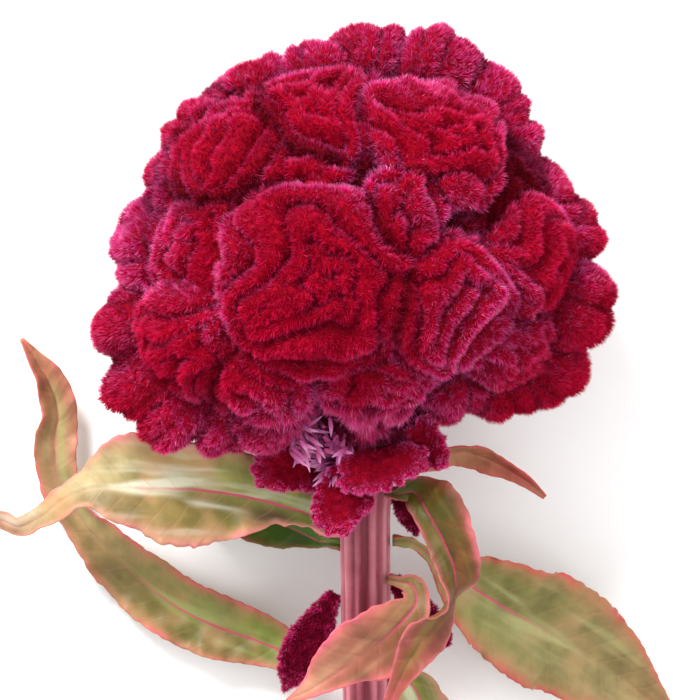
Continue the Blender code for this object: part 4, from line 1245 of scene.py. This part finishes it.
def leaf_material(name, shaded, *screens):
    """Leaf: green with a pink margin, magenta midrib, side veins and blotches."""
    nodes = Nodes(name)
    near, middle, far, tip, margin, rib, blush, streak_and_sheen = (paint(*screen) for screen in screens)
    aside = nodes.fact("aside")
    offset = nodes.math("ABSOLUTE", nodes.fact("offset"))
    mottle = nodes.noise(7.0, 4.0)
    grain = nodes.noise(1.1, 3.0)
    colour = nodes.ramp(nodes.fact("along"), [(0.08, near), (0.42, middle), (0.75, far), (0.97, tip)])
    shade = nodes.ramp(mottle, [(0.3, paint(190, 188, 172)), (0.7, paint(240, 236, 232))])
    colour = nodes.tint(colour, shade)
    half = nodes.times(nodes.between(nodes.fact("offset"), -1.0, 3.0), shaded)
    colour = nodes.tint(colour, nodes.mix(half, WHITE, SHADED_HALF))
    blotch = nodes.between(nodes.noise(16.0, 2.0), 0.5, 0.68)
    colour = nodes.mix(nodes.times(blotch, 0.7), colour, blush)
    # Streaks along the blade, strongest near the midrib; on the pale look their creamy white is a
    # painted sheen
    streaks = nodes.between(nodes.streaks(), 0.46, 0.7)
    inner = nodes.math("SUBTRACT", 0.75, nodes.times(aside, 0.6))
    colour = nodes.mix(nodes.times(streaks, inner), colour, streak_and_sheen)
    # Painted shade: the leaf's hollow is darkened to a shadowed brown
    colour = nodes.mix(nodes.times(nodes.fact("hollow"), 0.95), colour, HOLLOW_SHADE_BROWN)
    drift = nodes.times(mottle, 2.6)
    path = nodes.math("SUBTRACT", nodes.fact("run"), nodes.times(offset, VEIN_SLANT))
    turn = nodes.times(nodes.math("ADD", path, drift), 2 * math.pi / VEIN_SPACING)
    vein = nodes.between(nodes.math("COSINE", turn), 0.9, 1.0)
    vein = nodes.times(vein, VEIN_STRENGTH)
    colour = nodes.mix(vein, colour, nodes.mix(0.6, rib, middle))
    rough_edge = nodes.math("ADD", aside, nodes.times(mottle, 0.34))
    flush = nodes.times(nodes.between(rough_edge, 0.72, 1.12), 0.5)
    colour = nodes.mix(flush, colour, nodes.mix(0.35, blush, margin))
    patchy = nodes.line(nodes.between(nodes.noise(11.0, 2.0), 0.38, 0.6), 0.75, 0.2)
    rim = nodes.times(nodes.between(rough_edge, 0.96, 1.2), patchy)
    colour = nodes.mix(rim, colour, margin)
    midrib = nodes.math("SUBTRACT", 1.0, nodes.between(offset, 0.15, 0.65))
    faded = nodes.times(nodes.between(nodes.fact("along"), 0.28, 0.58), 0.85)
    fading = nodes.math("SUBTRACT", 0.9, faded)
    colour = nodes.mix(nodes.times(midrib, fading), colour, rib)
    furrow = nodes.times(nodes.between(nodes.math("COSINE", turn), 0.5, 1.0), -0.5)
    nodes.bump(nodes.line(grain, 0.5, furrow), 0.14)
    roughness = nodes.line(grain, 0.2, 0.38)
    nodes.glow(0.12, (0.0012, 0.0012, 0.0006))
    nodes.shader.inputs["Subsurface Scale"].default_value = 1.0
    return nodes.finish(colour, roughness, 0.26)


def stem_material():
    """Mauve stem with dark red grooves, fine fibres and a pale cut end."""
    nodes = Nodes("stem_mauve")
    band = nodes.times(nodes.fact("band"), 0.55)
    groove = nodes.math("ADD", nodes.times(nodes.fact("groove"), 0.55), band)
    groove = nodes.math("ADD", groove, nodes.times(nodes.noise(5.0), 0.4))
    colour = nodes.ramp(groove, [(0.12, paint(196, 124, 136)), (0.5, paint(172, 88, 102)),
                                 (0.95, paint(118, 34, 52))])
    fade = nodes.between(nodes.fact("run"), 8.0, 30.0)
    top = nodes.mix(0.85, colour, paint(124, 12, 50))
    colour = nodes.mix(fade, top, colour)
    cut = nodes.ramp(nodes.fact("cut"), [(0.18, paint(150, 168, 92)), (0.5, paint(214, 216, 176)),
                                         (1.0, paint(232, 230, 205))])
    colour = nodes.mix(nodes.between(nodes.fact("cut"), 0.02, 0.16), colour, cut)
    nodes.bump(nodes.noise(0.8, 4.0), 0.12)
    nodes.glow(0.1, (0.0015, 0.0006, 0.0006))
    return nodes.finish(colour, 0.48, 0.4)


def floret_material():
    nodes = Nodes("floret_pale_pink")
    colour = nodes.ramp(nodes.fact("reach"), [(0.0, paint(150, 30, 90)), (0.45, paint(196, 84, 146)),
                                              (1.0, paint(232, 164, 202))])
    shade = nodes.ramp(nodes.fact("tone"), [(0.0, paint(190, 150, 196)), (1.0, WHITE)])
    colour = nodes.tint(colour, shade)
    nodes.bump(nodes.noise(0.7), 0.1)
    nodes.glow(0.15, (0.0012, 0.0006, 0.0009))
    return nodes.finish(colour, 0.5, 0.35)


# Camera, floor and light


def build_camera():
    data = bpy.data.cameras.new("camera")
    data.lens = CAMERA_LENS
    data.sensor_width = SENSOR_WIDTH
    camera = bpy.data.objects.new("camera", data)
    bpy.context.scene.collection.objects.link(camera)
    camera.location = CAMERA_PLACE
    bpy.context.scene.camera = camera


def build_floor():
    mesh = bpy.data.meshes.new("floor")
    side = FLOOR_HALF_SIZE
    down = -FLOOR_DROP
    corners = [(-side, -side, down), (side, -side, down), (side, side, down), (-side, side, down)]
    mesh.from_pydata(corners, [], [(0, 1, 2, 3)])
    nodes = Nodes("floor_paper")
    colour = nodes.mix(nodes.noise(4.0), paint(250, 250, 250), WHITE)
    mesh.materials.append(nodes.finish(colour, 0.9, 0.1))
    floor = bpy.data.objects.new("floor", mesh)
    bpy.context.scene.collection.objects.link(floor)


def add_light(name, place, size, power, aim=(0.0, 0.0, 0.04)):
    data = bpy.data.lights.new(name, "AREA")
    data.size = size
    data.energy = power
    light = bpy.data.objects.new(name, data)
    bpy.context.scene.collection.objects.link(light)
    light.location = place
    light.rotation_euler = (Vector(aim) - Vector(place)).to_track_quat("-Z", "Y").to_euler()


def build_lights():
    world = bpy.data.worlds.new("studio")
    world.use_nodes = True
    background = world.node_tree.nodes["Background"]
    background.inputs["Color"].default_value = (1.0, 1.0, 1.0, 1.0)
    background.inputs["Strength"].default_value = ROOM_LIGHT
    bpy.context.scene.world = world
    for row in LIGHTS:
        add_light(*row)
    bpy.context.scene.view_settings.view_transform = "Standard"


def main():
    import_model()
    build_camera()
    build_floor()
    build_lights()
    velvet = velvet_material("velvet_crimson", VELVET_CRIMSON)
    dark_velvet = velvet_material("velvet_maroon", VELVET_MAROON)
    build_crest(velvet)
    build_stem(stem_material())
    build_leaves({look: leaf_material(*row) for look, row in LEAF_LOOKS.items()})
    build_side_crests({"side_crest": velvet, "side_crest_dark": dark_velvet})
    build_floret_cluster(floret_material())


main()
